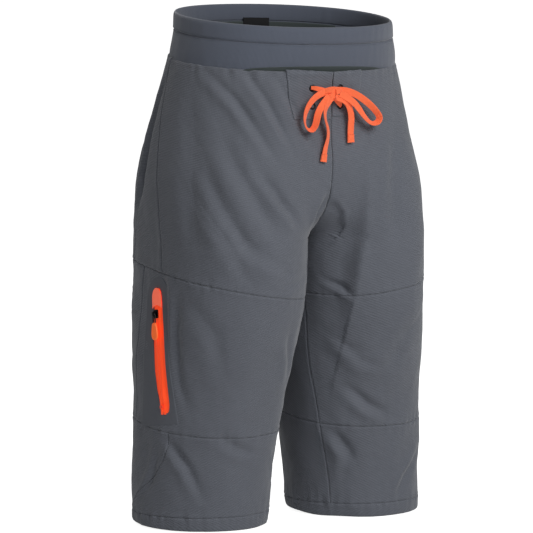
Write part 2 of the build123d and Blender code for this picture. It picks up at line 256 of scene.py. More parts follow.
@dataclass(frozen=True)
class MouldedFinish:
    """A moulded, coated or lacquered surface with a little grain and rubbed variation."""

    name: str
    colour: tuple[float, float, float]
    roughness: float
    metallic: float = 0.0
    grain: float = 0.00004
    coat: float = 0.0
    # Strength of painted light: the surface glows in its own colour, though it is no lamp.
    glow: float = 0.0

    def build(self) -> bpy.types.Material:
        """Make the material.

        Returns:
            The finished material.
        """
        board = NodeBoard(self.name)
        place = board.add("ShaderNodeTexCoord").outputs["Object"]
        soft = board.noise(place, 220.0, 3.0)
        fine = board.noise(place, 1800.0, 2.0)
        board.bump(fine, self.grain)
        dark = [channel * 0.88 for channel in self.colour]
        light = [min(1.0, channel * 1.1) for channel in self.colour]
        board.link(board.tint(soft, dark, light), board.shader.inputs["Base Color"])
        low = board.math("MULTIPLY", soft, 0.16)
        board.link(board.math("ADD", low, self.roughness - 0.08), board.shader.inputs["Roughness"])
        board.shader.inputs["Metallic"].default_value = self.metallic
        board.shader.inputs["Coat Weight"].default_value = self.coat
        # Painted light: the finish glows in its own colour.
        board.shader.inputs["Emission Color"].default_value = (*self.colour, 1)
        board.shader.inputs["Emission Strength"].default_value = self.glow
        return board.material


@dataclass
class Wardrobe:
    """Every finish of the garment, made once and looked up by the record's slot."""

    shell: tuple[float, float, float] = (0.118, 0.127, 0.150)
    orange: tuple[float, float, float] = (0.93, 0.155, 0.055)
    made: dict[str, bpy.types.Material] = field(default_factory=dict)

    def finishes(self) -> dict[str, ClothFinish | MouldedFinish]:
        """The finish of each slot.

        Returns:
            Finishes by slot name.
        """
        shell = self.shell
        return {
            "shell_cloth": ClothFinish("shell_twill", shell, Weave.TWILL, 0.0034, 0.0003),
            "patch_cloth": ClothFinish("patch_twill", shell, Weave.TWILL, 0.0034, 0.0003),
            "bonded_cloth": ClothFinish(
                "bonded_twill", tuple(c * 0.92 for c in shell), Weave.PLAIN, 0.0012, 0.00005, 0.7, 0.15),
            "mesh_cloth": ClothFinish("liner_mesh", (0.045, 0.049, 0.055), Weave.MESH, 0.0026, 0.0004),
            "pad_foam": ClothFinish("pad_cover", (0.035, 0.037, 0.042), Weave.PLAIN, 0.0015, 0.0001),
            "knit_band": ClothFinish(
                "waist_knit", (0.092, 0.105, 0.138), Weave.RIB, 0.0016, 0.00014, 0.85, 0.35, 0.05),
            "elastic": ClothFinish("woven_elastic", (0.6, 0.6, 0.58), Weave.RIB, 0.0018, 0.0003),
            "facing_cloth": ClothFinish("facing_plain", (0.04, 0.05, 0.05), Weave.PLAIN, 0.0009, 0.00006),
            "label_satin": ClothFinish(
                "label_satin", (0.006, 0.006, 0.007), Weave.PLAIN, 0.0006, 0.00003, 0.8, 0.0),
            "hook_and_loop": ClothFinish("hook_and_loop", (0.03, 0.03, 0.033), Weave.MESH, 0.0011, 0.0004),
            "eyelet_metal": MouldedFinish("black_lacquer", (0.016, 0.016, 0.018), 0.34, 0.6),
            # The lace, zip tape, zip coil (also on the bottom stop) and garage film carry painted light: they
            # glow in their own orange.
            "lace_tape": ClothFinish(
                "lace_tape", (0.93, 0.155, 0.055), Weave.TAPE, 0.0011, 0.00018, 0.72, 0.2, 0.05, 0.14),
            "zip_tape_coated": ClothFinish(
                "zip_tape", (0.98, 0.075, 0.016), Weave.PLAIN, 0.0008, 0.00004, 0.5, 0.05, 0.03, 0.42),
            "zip_coil": MouldedFinish("zip_coil", (0.85, 0.055, 0.015), 0.42, glow=0.3),
            "zip_garage_film": MouldedFinish("zip_garage", (0.98, 0.155, 0.08), 0.5, glow=0.4),
            "slider_black": MouldedFinish("slider_lacquer", (0.012, 0.012, 0.013), 0.3, 0.7),
            "pull_cord": MouldedFinish("pull_cord", (0.012, 0.011, 0.011), 0.75),
            # The pull tab carries painted light too: it glows in its own orange.
            "pull_tab_rubber": MouldedFinish("pull_rubber", (0.96, 0.15, 0.022), 0.48, glow=0.3),
            "thread": MouldedFinish("thread", tuple(c * 1.7 for c in shell), 0.7),
            "knit_thread": MouldedFinish("knit_thread", (0.085, 0.096, 0.125), 0.7),
        }

    def get(self, slot: str) -> bpy.types.Material:
        """The material of a slot, made when first asked for."""
        if slot not in self.made:
            self.made[slot] = self.finishes()[slot].build()
        return self.made[slot]


WARDROBE = Wardrobe()


# ---------------------------------------------------------------------------------------------
# Mesh helpers
# ---------------------------------------------------------------------------------------------


def grid_quads(rows: int, columns: int, close_rows: bool = False, close_columns: bool = False) -> np.ndarray:
    """Quads over a grid of points stored row by row.

    Args:
        rows: Points along the first axis.
        columns: Points along the second axis.
        close_rows: Whether the last row joins the first.
        close_columns: Whether the last column joins the first.

    Returns:
        The quads' corners, facing first axis cross second axis.
    """
    down = np.arange(rows if close_rows else rows - 1)
    over = np.arange(columns if close_columns else columns - 1)
    row, column = np.meshgrid(down, over, indexing="ij")
    next_row, next_column = (row + 1) % rows, (column + 1) % columns
    corners = (
        row * columns + column,
        next_row * columns + column,
        next_row * columns + next_column,
        row * columns + next_column,
    )
    return np.stack([corner.ravel() for corner in corners], axis=1)


def make_piece(
    name: str,
    points: np.ndarray,
    faces: Sequence[Sequence[int]] | np.ndarray,
    slot: str,
    uv: np.ndarray | None = None,
) -> bpy.types.Object:
    """Make a mesh object at the origin.

    Args:
        name: The piece's name.
        points: Its points, in millimetres.
        faces: Its faces, as lists of point numbers.
        slot: The record's material slot.
        uv: The cloth's own coordinates for each point, in metres.

    Returns:
        The object.
    """
    mesh = bpy.data.meshes.new(name)
    faces = faces.tolist() if isinstance(faces, np.ndarray) else faces
    mesh.from_pydata((np.asarray(points) * MM).tolist(), [], faces)
    mesh.shade_smooth()
    if uv is None:
        flat = np.asarray(points)
        uv = np.stack([flat[:, 0] + flat[:, 1], flat[:, 2]], axis=1) * MM
    layer = mesh.uv_layers.new(name="cloth")
    corners = np.empty(len(mesh.loops), dtype=np.int32)
    mesh.loops.foreach_get("vertex_index", corners)
    layer.data.foreach_set("uv", uv[corners].astype(np.float32).ravel())
    mesh.materials.append(WARDROBE.get(slot))
    piece = bpy.data.objects.new(name, mesh)
    bpy.context.scene.collection.objects.link(piece)
    LOG.info("%s: %d faces", name, len(mesh.polygons))
    return piece


def settle(
    piece: bpy.types.Object, nodes: Sequence[str] = (), body: str = SHORTS_BODY
) -> bpy.types.Object:
    """Hand a finished piece to the frame.

    Args:
        piece: The piece.
        nodes: The CAD nodes that it stands for.
        body: The body that it rides on.

    Returns:
        The same piece.
    """
    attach(piece, body)
    if nodes:
        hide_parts(*nodes)
    return piece


def thicken(piece: bpy.types.Object, thickness: float) -> None:
    """Give a cloth its thickness, inwards from its outer face."""
    solid = piece.modifiers.new("Thickness", "SOLIDIFY")
    solid.thickness = thickness * MM
    solid.offset = -1
    solid.use_rim = True


def pchip(at: np.ndarray, knots: np.ndarray, values: np.ndarray) -> np.ndarray:
    """Smooth interpolation that never overshoots its values.

    Args:
        at: Where to read.
        knots: The places of the values, rising.
        values: The values.

    Returns:
        The values read.
    """
    gaps = np.diff(knots)
    slopes = np.diff(values) / gaps
    tangents = np.zeros_like(values)
    for i in range(1, len(knots) - 1):
        if slopes[i - 1] * slopes[i] > 0:
            before, after = 2 * gaps[i] + gaps[i - 1], gaps[i] + 2 * gaps[i - 1]
            tangents[i] = (before + after) / (before / slopes[i - 1] + after / slopes[i])
    tangents[0], tangents[-1] = slopes[0], slopes[-1]
    at = np.clip(at, knots[0], knots[-1])
    i = np.clip(np.searchsorted(knots, at) - 1, 0, len(knots) - 2)
    t = (at - knots[i]) / gaps[i]
    return (
        (1 + 2 * t) * (1 - t) ** 2 * values[i]
        + t * (1 - t) ** 2 * gaps[i] * tangents[i]
        + t * t * (3 - 2 * t) * values[i + 1]
        + t * t * (t - 1) * gaps[i] * tangents[i + 1]
    )


def unit(vectors: np.ndarray) -> np.ndarray:
    """Vectors scaled to length one."""
    return vectors / np.maximum(np.linalg.norm(vectors, axis=-1, keepdims=True), 1e-9)


def smooth_step(value: np.ndarray, low: float, high: float) -> np.ndarray:
    """0 below low, 1 above high and an even ease between them."""
    t = np.clip((value - low) / (high - low), 0, 1)
    return t * t * (3 - 2 * t)


class Ripple:
    """A smooth random field made of cosines, the same on every run."""

    def __init__(
        self, seed: int, shortest: float, longest: float, stretch: Sequence[float] = (1, 1, 1)
    ) -> None:
        """Choose the waves.

        Args:
            seed: The seed of the random choice.
            shortest: The shortest wavelength, in millimetres.
            longest: The longest wavelength.
            stretch: How much longer the waves are along each axis.
        """
        draw = np.random.default_rng(seed)
        count = 28
        lengths = np.exp(draw.uniform(math.log(shortest), math.log(longest), count))
        directions = unit(draw.normal(size=(count, 3)) / np.asarray(stretch))
        self.waves = directions * (2 * math.pi / lengths)[:, None]
        self.phases = draw.uniform(0, 2 * math.pi, count)

    def at(self, points: np.ndarray) -> np.ndarray:
        """The field at each point, mostly between -1 and 1."""
        return np.cos(points @ self.waves.T + self.phases).sum(axis=1) / math.sqrt(len(self.phases))


# ---------------------------------------------------------------------------------------------
# The garment's form
# ---------------------------------------------------------------------------------------------

RISE_TILT = 0.12
WAIST_TOP, CASING_FOOT, SHELL_TOP, KNIT_FOOT = 668, 646, 611, 603
HEM_DEPTH = 18
CROTCH_HEIGHT = 378

LEG_GIRTHS = np.array([
    (0, 120, 209, 31, -82, 100, 2.0),
    (72, 116, 207, 24, -85, 103, 2.05),
    (130, 110, 203, 17, -91, 105, 2.1),
    (168, 107, 201, 12, -97, 109, 2.15),
    (212, 103, 199, 6, -110, 121, 2.3),
    (312, 97, 191.5, 1.5, -132, 135, 2.5),
    (362, 94, 190, 0.8, -135, 135, 2.5),
    (378, 92, 189, -0.5, -135, 135, 2.5),
    (412, 86, 189, -38, -134, 135, 2.45),
    (452, 74, 188, -118, -132, 134, 2.35),
    (490, 52, 184, -184, -129, 132, 2.2),
    (552, 16, 172, -172, -125, 125, 2.1),
    (614, 0, 160, -160, -125, 117, 2.1),
    (646, 0, 152, -152, -125, 112, 2.1),
])

WAIST_GIRTHS = np.array([
    (570, 0, 168.5, -168.5, -125, 122.5, 2.1),
    (614, 0, 160, -160, -125, 117, 2.1),
    (646, 0, 152, -152, -125, 112, 2.1),
    (672, 0, 150, -150, -124, 111, 2.1),
    (705, 0, 150, -150, -124, 111, 2.1),
])


@dataclass(frozen=True)
class SeamPlane:
    """A seam that lies in a plane, given for the wearer's left."""

    origin: tuple[float, float, float]
    normal: tuple[float, float, float]

    def distance(self, points: np.ndarray, side: Side) -> np.ndarray:
        """How far points are from the seam, along its normal.

        Args:
            points: Points in millimetres.
            side: The side that the points are on.

        Returns:
            Signed distances.
        """
        mirrored = points * np.array([side.value, 1, 1])
        return (mirrored - np.asarray(self.origin)) @ unit(np.asarray(self.normal, dtype=float))

    @staticmethod
    def through(first: Sequence[float], second: Sequence[float], third: Sequence[float]) -> "SeamPlane":
        """The plane through three points, its normal to the back."""
        first, second, third = (np.asarray(point, dtype=float) for point in (first, second, third))
        normal = np.cross(second - first, third - first)
        if normal[1] < 0:
            normal = -normal
        return SeamPlane(tuple(first), tuple(normal))


WAIST_SEAM = SeamPlane((0, 0, SHELL_TOP), (0, -RISE_TILT, 1))
KNEE_SEAM = SeamPlane((0, 0, 133), (0, -RISE_TILT, 1))
YOKE_SEAM = SeamPlane((0, 0, 308), (-0.15, -0.11, 1))
WEDGE_SEAM = SeamPlane((0, 21, 600), (0, 1, 0.24))
HEM_SEAM = SeamPlane((0, 0, HEM_DEPTH), (0, 0, 1))
CUFF_HEIGHTS = (0, 22, 40, 62, 80, 94, 104, 112, 140)
CUFF_DEPTHS = (64, 46, 24, -4, -22, -31, -35, -36.5, -36.5)


class Form:
    """A smooth tube of oval girths, read by height and by turn around it.

    A turn of 0 is the outer side, 0.25 the back, 0.5 the inner side and 0.75 the front.
    """

    STEP = 2.0
    TURNS = 512

    def __init__(self, girths: np.ndarray, side: Side) -> None:
        """Lay out the girths.

        Args:
            girths: Rows of height, centre, outer, inner, front, back and squareness.
            side: The side, which mirrors the form.
        """
        self.side = side
        self.low, self.high = girths[0, 0], girths[-1, 0]
        self.heights = np.arange(self.low, self.high + self.STEP, self.STEP)
        centre, outer, inner, front, back, square = (
            pchip(self.heights, girths[:, 0], girths[:, column]) for column in range(1, 7)
        )
        angle = np.linspace(0, 2 * math.pi, 1441)
        power = (2 / square)[:, None]
        reach = np.sign(np.cos(angle)) * np.abs(np.cos(angle)) ** power
        depth = np.sign(np.sin(angle)) * np.abs(np.sin(angle)) ** power
        width = np.where(reach > 0, (outer - centre)[:, None], (centre - inner)[:, None])
        x = centre[:, None] + reach * width
        y = ((front + back) / 2)[:, None] + depth * ((back - front) / 2)[:, None]
        self.table = np.empty((len(self.heights), self.TURNS + 1, 2))
        self.length = np.empty(len(self.heights))
        even = np.linspace(0, 1, self.TURNS + 1)
        for row in range(len(self.heights)):
            walked = np.concatenate([[0], np.cumsum(np.hypot(np.diff(x[row]), np.diff(y[row])))])
            self.length[row] = walked[-1]
            self.table[row, :, 0] = np.interp(even, walked / walked[-1], x[row])
            self.table[row, :, 1] = np.interp(even, walked / walked[-1], y[row])

    def raw(self, turn: np.ndarray, height: np.ndarray) -> np.ndarray:
        """Points on the form, unmirrored.

        Args:
            turn: Turns around the form.
            height: Heights in millimetres.

        Returns:
            Points, in millimetres.
        """
        row = np.clip((height - self.low) / self.STEP, 0, len(self.heights) - 1.001)
        column = (turn % 1.0) * self.TURNS
        i, j = row.astype(int), np.minimum(column.astype(int), self.TURNS - 1)
        di, dj = (row - i)[..., None], (column - j)[..., None]
        flat = (
            self.table[i, j] * (1 - di) * (1 - dj)
            + self.table[i + 1, j] * di * (1 - dj)
            + self.table[i, j + 1] * (1 - di) * dj
            + self.table[i + 1, j + 1] * di * dj
        )
        return np.concatenate([flat, np.asarray(height)[..., None]], axis=-1)

    def at(self, turn: np.ndarray, height: np.ndarray, inset: np.ndarray | float = 0.0) -> np.ndarray:
        """Points on the form, mirrored to its side and moved inwards.

        Args:
            turn: Turns around the form.
            height: Heights in millimetres.
            inset: How far inside the surface the points lie.

        Returns:
            Points, in millimetres.
        """
        turn, height = np.broadcast_arrays(np.asarray(turn, float), np.asarray(height, float))
        points = self.raw(turn, height) - self.normal(turn, height) * np.asarray(inset)[..., None]
        return points * np.array([self.side.value, 1, 1])

    def normal(self, turn: np.ndarray, height: np.ndarray) -> np.ndarray:
        """Outward normals, unmirrored."""
        small_turn, small_rise = 0.004, 3.0
        around = self.raw(turn + small_turn, height) - self.raw(turn - small_turn, height)
        rise = self.raw(turn, height + small_rise) - self.raw(turn, height - small_rise)
        return unit(np.cross(around, rise + np.array([0, 0, 1e-6])))

    def mirrored_normal(self, turn: np.ndarray, height: np.ndarray) -> np.ndarray:
        """Outward normals on this side."""
        return self.normal(turn, height) * np.array([self.side.value, 1, 1])

    def crossing(
        self, value: Callable[[np.ndarray], np.ndarray], low: float, high: float
    ) -> np.ndarray:
        """The turn where a value changes sign, at every height of the table.

        Args:
            value: Reads unmirrored points and returns a number for each.
            low: The first turn searched.
            high: The last turn searched.

        Returns:
            One turn for each height, or NaN where there is no crossing.
        """
        turns = np.linspace(low, high, 400)
        found = np.full(len(self.heights), np.nan)
        for row, height in enumerate(self.heights):
            read = value(self.raw(turns, np.full(turns.shape, height)))
            change = np.nonzero(read[:-1] * read[1:] <= 0)[0]
            if len(change):
                k = change[0]
                span = read[k] - read[k + 1]
                found[row] = turns[k] + (turns[k + 1] - turns[k]) * (read[k] / span if span else 0)
        return found

    def height_on(self, seam: SeamPlane, turn: np.ndarray) -> np.ndarray:
        """The height at which each turn meets a seam that runs around the form."""
        origin, normal = np.asarray(seam.origin, float), np.asarray(seam.normal, float)
        height = np.full(np.shape(turn), origin[2])
        for _ in range(8):
            flat = self.raw(turn, height)
            slope = (flat[..., 0] - origin[0]) * normal[0] + (flat[..., 1] - origin[1]) * normal[1]
            height = np.clip(origin[2] - slope / normal[2], self.low, self.high)
        return height


@dataclass(frozen=True)
class FlatFrame:
    """A flat place on the garment, with its own across, up and out."""

    middle: tuple[float, float, float]
    up: tuple[float, float, float]
    facing: tuple[float, float, float]

    def axes(self) -> np.ndarray:
        """The unit vectors across, up and out, one a row."""
        up = unit(np.asarray(self.up, dtype=float))
        out = np.asarray(self.facing, dtype=float)
        out = unit(out - (out @ up) * up)
        return np.stack([np.cross(up, out), up, out])

    def local(self, points: np.ndarray) -> np.ndarray:
        """Points as distances across, up and out."""
        return (points - np.asarray(self.middle)) @ self.axes().T

    def world(self, places: np.ndarray) -> np.ndarray:
        """Distances across, up and out as points."""
        return np.asarray(self.middle) + np.asarray(places, dtype=float) @ self.axes()


ZIP_FRAME = FlatFrame((-196.7, -18, 233), (4, 24, 162), (-0.996, -0.084, 0.06))
ZIP_LENGTH, ZIP_TAPE, COIL_LENGTH = 162, 14.5, 150
SLIDER_UP, PIVOT_HEIGHT = 49, 5.4


# ---------------------------------------------------------------------------------------------
# Folds and creases
# ---------------------------------------------------------------------------------------------


@dataclass(frozen=True)
class Fold:
    """A soft fold along a line on the cloth: a furrow with a crest beside it."""

    route: tuple[tuple[float, float, float], ...]
    width: float
    depth: float
    crest: float = 0.6

    def height(self, points: np.ndarray, normals: np.ndarray) -> np.ndarray:
        """How far the fold moves each point outwards.

        Args:
            points: Points on the cloth.
            normals: The cloth's outward normals.

        Returns:
            Heights in millimetres, negative in the furrow.
        """
        route = np.asarray(self.route, dtype=float)
        reach = 5 * self.width
        near = np.all((points > route.min(axis=0) - reach) & (points < route.max(axis=0) + reach), axis=1)
        result = np.zeros(len(points))
        if not near.any():
            return result
        p, n = points[near], normals[near]
        best = np.full(len(p), np.inf)
        offset = np.zeros(len(p))
        progress = np.zeros(len(p))
        lengths = np.linalg.norm(np.diff(route, axis=0), axis=1)
        walked = np.concatenate([[0], np.cumsum(lengths)])
        for k, (start, end) in enumerate(zip(route, route[1:])):
            step = end - start
            share = np.clip((p - start) @ step / (step @ step), 0, 1)
            away = p - (start + share[:, None] * step)
            distance = np.linalg.norm(away, axis=1)
            closer = distance < best
            aside = np.sign(np.einsum("ij,ij->i", np.cross(step, n), away))
            best = np.where(closer, distance, best)
            offset = np.where(closer, distance * aside, offset)
            progress = np.where(closer, (walked[k] + share * lengths[k]) / walked[-1], progress)
        taper = np.clip(np.sin(math.pi * np.clip(progress, 0.03, 0.97)), 0, 1) ** 0.7
        result[near] = self.depth * taper * self.profile(offset)
        return result

    def profile(self, offset: np.ndarray) -> np.ndarray:
        """The fold's section, from -1 to 1, at distances from its line."""
        furrow = -np.exp(-((offset / self.width) ** 2))
        ridge = self.crest * np.exp(-(((offset - 1.9 * self.width) / (1.2 * self.width)) ** 2))
        return furrow + ridge


@dataclass(frozen=True)
class Bank(Fold):
    """A ridge that the cloth falls away from on one side only."""

    def profile(self, offset: np.ndarray) -> np.ndarray:
        """The drop on the low side, easing back up further out."""
        low = np.clip(offset, 0, None)
        drop = 1 - np.exp(-((low / self.width) ** 1.6))
        ridge = 0.16 * np.exp(-((offset / (0.45 * self.width)) ** 2))
        return ridge - drop * np.exp(-((low / (3.2 * self.width)) ** 2))


@dataclass(frozen=True)
class Pucker:
    """Small gathers that a row of sewing draws into the cloth beside it."""

    seam: SeamPlane
    depth: float
    reach: float
    gathers: Ripple

    def height(self, points: np.ndarray, side: Side) -> np.ndarray:
        """How far the gathers move each point outwards.

        Args:
            points: Points on the cloth.
            side: The side that the points are on.

        Returns:
            Heights in millimetres.
        """
        away = np.abs(self.seam.distance(points, side))
        return self.depth * self.gathers.at(points) * np.exp(-away / self.reach)


@dataclass
class Drape:
    """Everything that moves the shell's cloth off its smooth form."""

    swell: Ripple = field(default_factory=lambda: Ripple(11, 70, 190, (1, 1, 2.2)))
    wrinkle: Ripple = field(default_factory=lambda: Ripple(19, 34, 84, (1, 1, 1.3)))
    crumple: Ripple = field(default_factory=lambda: Ripple(23, 12, 34, (1, 1, 1.4)))
    folds: tuple[Fold, ...] = ()
    puckers: tuple[Pucker, ...] = ()

    def height(self, points: np.ndarray, normals: np.ndarray, side: Side) -> np.ndarray:
        """The cloth's height over its smooth form.

        Args:
            points: Points on the form.
            normals: Outward normals.
            side: The side that the points are on.

        Returns:
            Heights in millimetres.
        """
        calm = smooth_step(points[:, 2], 0, 60) * (1 - smooth_step(points[:, 2], 560, 600))
        total = 1.5 * calm * self.swell.at(points)
        total += 0.62 * self.wrinkle.at(points) * (0.4 + 0.6 * calm)
        total += 0.16 * self.crumple.at(points)
        for fold in self.folds:
            total += fold.height(points, normals)
        for pucker in self.puckers:
            total += pucker.height(points, side)
        if side is Side.LEFT:
            outer = smooth_step(points[:, 0], 120, 185)
            total -= 6.0 * outer * np.exp(-(((points[:, 2] - 330) / 110) ** 2))
            return total
        place = ZIP_FRAME.local(points)
        beside = np.maximum(np.abs(place[:, 0]) - 17, np.abs(place[:, 1] - 4) - 92)
        outside = smooth_step(beside, 0, 16) + (points[:, 0] > -150)
        total *= np.clip(outside, 0, 1)
        window = np.maximum(np.abs(place[:, 0]) - 14.5, np.abs(place[:, 1]) - 82)
        pocket = (1 - smooth_step(window, -1.2, 0.4)) * (points[:, 0] < -150)
        return total - 3.2 * pocket


FOLDS = (
    Fold(((-178, 91, 278), (-189, 62, 279), (-194, 29, 280)), 1.3, 1.6, 0.3),
    Fold(((-152, -30, 575), (-165, -55, 500), (-172, -70, 420), (-172, -78, 350)), 14, 2.6),
    Fold(((-100, -118, 330), (-70, -122, 318), (-30, -106, 330)), 6, 2.6),
    Fold(((-60, -112, 262), (-44, -98, 220), (-40, -88, 180)), 8, 3.4),
    Fold(((-176, -70, 300), (-160, -96, 262), (-150, -100, 214)), 10, 2.8),
    Fold(((150, -90, 300), (120, -112, 250), (100, -106, 190)), 12, 2.6),
    Fold(((36, -96, 236), (62, -104, 214), (96, -104, 206)), 7, 2.4),
    Fold(((52, -60, 116), (62, -68, 84), (58, -66, 50)), 7, 3.6),
    Fold(((-163, 22, 600), (-168, 36, 560), (-176, 42, 519), (-184, 52, 456), (-181, 76, 398)), 7, 6.5),
    Fold(((-150, 62, 596), (-158, 66, 540), (-168, 70, 480), (-170, 92, 420), (-160, 110, 370)), 9, 5.5),
    Fold(((163, 22, 600), (168, 36, 560), (176, 42, 519), (184, 52, 456), (181, 76, 398)), 7, 4.5),
    Fold(((-168, -80, 480), (-155, -108, 424), (-141, -124, 392), (-118, -133, 360)), 9, 3.8),
    Fold(((-152, -92, 520), (-132, -114, 466), (-108, -130, 416), (-84, -133, 380)), 10, 4.2),
    Fold(((-110, -124, 470), (-80, -133, 428), (-52, -132, 398)), 6.8, 5.7),
    Fold(((-145, -121, 410), (-130, -128, 375), (-92, -131, 352), (-53, -126, 328)), 9, 3),
    Fold(((-150, -55, 600), (-124, -91, 560), (-98, -117, 508), (-80, -125, 470)), 6, 4.6),
    Fold(((-114, -92, 602), (-87, -112, 554), (-60, -128, 492)), 5.1, 4.6),
    Fold(((-84, -104, 600), (-58, -118, 556), (-30, -128, 500)), 5.1, 3.4),
    Fold(((-170, -70, 440), (-150, -112, 380), (-132, -128, 335)), 7.6, 4.2),
    Bank(
        ((58, -129, 490), (55, -133, 435), (50, -131, 380), (41, -122, 315), (31, -113, 262),
         (24, -100, 215)), 16, 12),
    Fold(((112, -122, 520), (96, -130, 452), (92, -133, 380)), 10.2, 4.6),
    Fold(((14, -82, 322), (29, -106, 312), (44, -116, 300)), 4.2, 4.9),
    Fold(((50, -80, 182), (79, -91, 154), (115, -92, 136)), 6.8, 5.7),
    Bank(((2, -121, 438), (14, -122, 426), (25, -123, 410), (22, -116, 386), (10, -100, 370)), 7, 7),
    Fold(((-3, -122, 440), (-14, -118, 412), (-16, -104, 394)), 5.1, 4.2),
    Fold(((-196, -36, 120), (-182, -62, 84), (-165, -72, 46)), 6, 5.7),
    Fold(((-198, -20, 108), (-205, -8, 62), (-200, 22, 30)), 5.1, 3.8),
    Fold(((180, -59, 84), (150, -77, 50), (132, -82, 24)), 6, 4.6),
    Fold(((-186, -52, 312), (-191, -50, 252), (-189, -52, 196), (-180, -60, 160)), 8.5, 6.1),
    Fold(((-150, -85, 128), (-120, -92, 108), (-86, -90, 96)), 6.8, 3),
    Fold(((-66, -70, 110), (-50, -58, 88), (-44, -48, 60)), 5.1, 3),
    Fold(((44, -52, 122), (60, -74, 92), (70, -80, 62)), 6.8, 4.6),
    Fold(((30, -70, 250), (50, -96, 232), (74, -108, 224)), 6.8, 3),
    Fold(((150, 60, 330), (110, 120, 300), (70, 130, 290)), 8.5, 4.6),
    Fold(((-150, 60, 330), (-110, 120, 300), (-70, 130, 290)), 8.5, 4.6),
    Fold(((60, 132, 400), (90, 126, 330), (100, 118, 260)), 9.3, 5.7),
    Fold(((-60, 132, 400), (-90, 126, 330), (-100, 118, 260)), 9.3, 5.7),
    Fold(((130, 108, 520), (100, 128, 470), (50, 136, 430)), 8.5, 4.9),
    Fold(((-130, 108, 520), (-100, 128, 470), (-50, 136, 430)), 8.5, 4.9),
    Fold(((80, 112, 170), (120, 108, 150), (160, 92, 146)), 6.8, 4.2),
    Fold(((-80, 112, 170), (-120, 108, 150), (-160, 92, 146)), 6.8, 4.2),
)

UPRIGHT = (1, 1, 7)
PUCKERS = (
    Pucker(WAIST_SEAM, 0.8, 16, Ripple(31, 11, 24, UPRIGHT)),
    Pucker(YOKE_SEAM, 0.55, 8, Ripple(37, 8, 18, UPRIGHT)),
    Pucker(KNEE_SEAM, 0.65, 9, Ripple(41, 9, 20, UPRIGHT)),
    Pucker(HEM_SEAM, 0.95, 10, Ripple(43, 8, 18, UPRIGHT)),
    Pucker(WEDGE_SEAM, 0.3, 6, Ripple(47, 8, 16, (7, 7, 1))),
)


# ---------------------------------------------------------------------------------------------
# The shell
# ---------------------------------------------------------------------------------------------


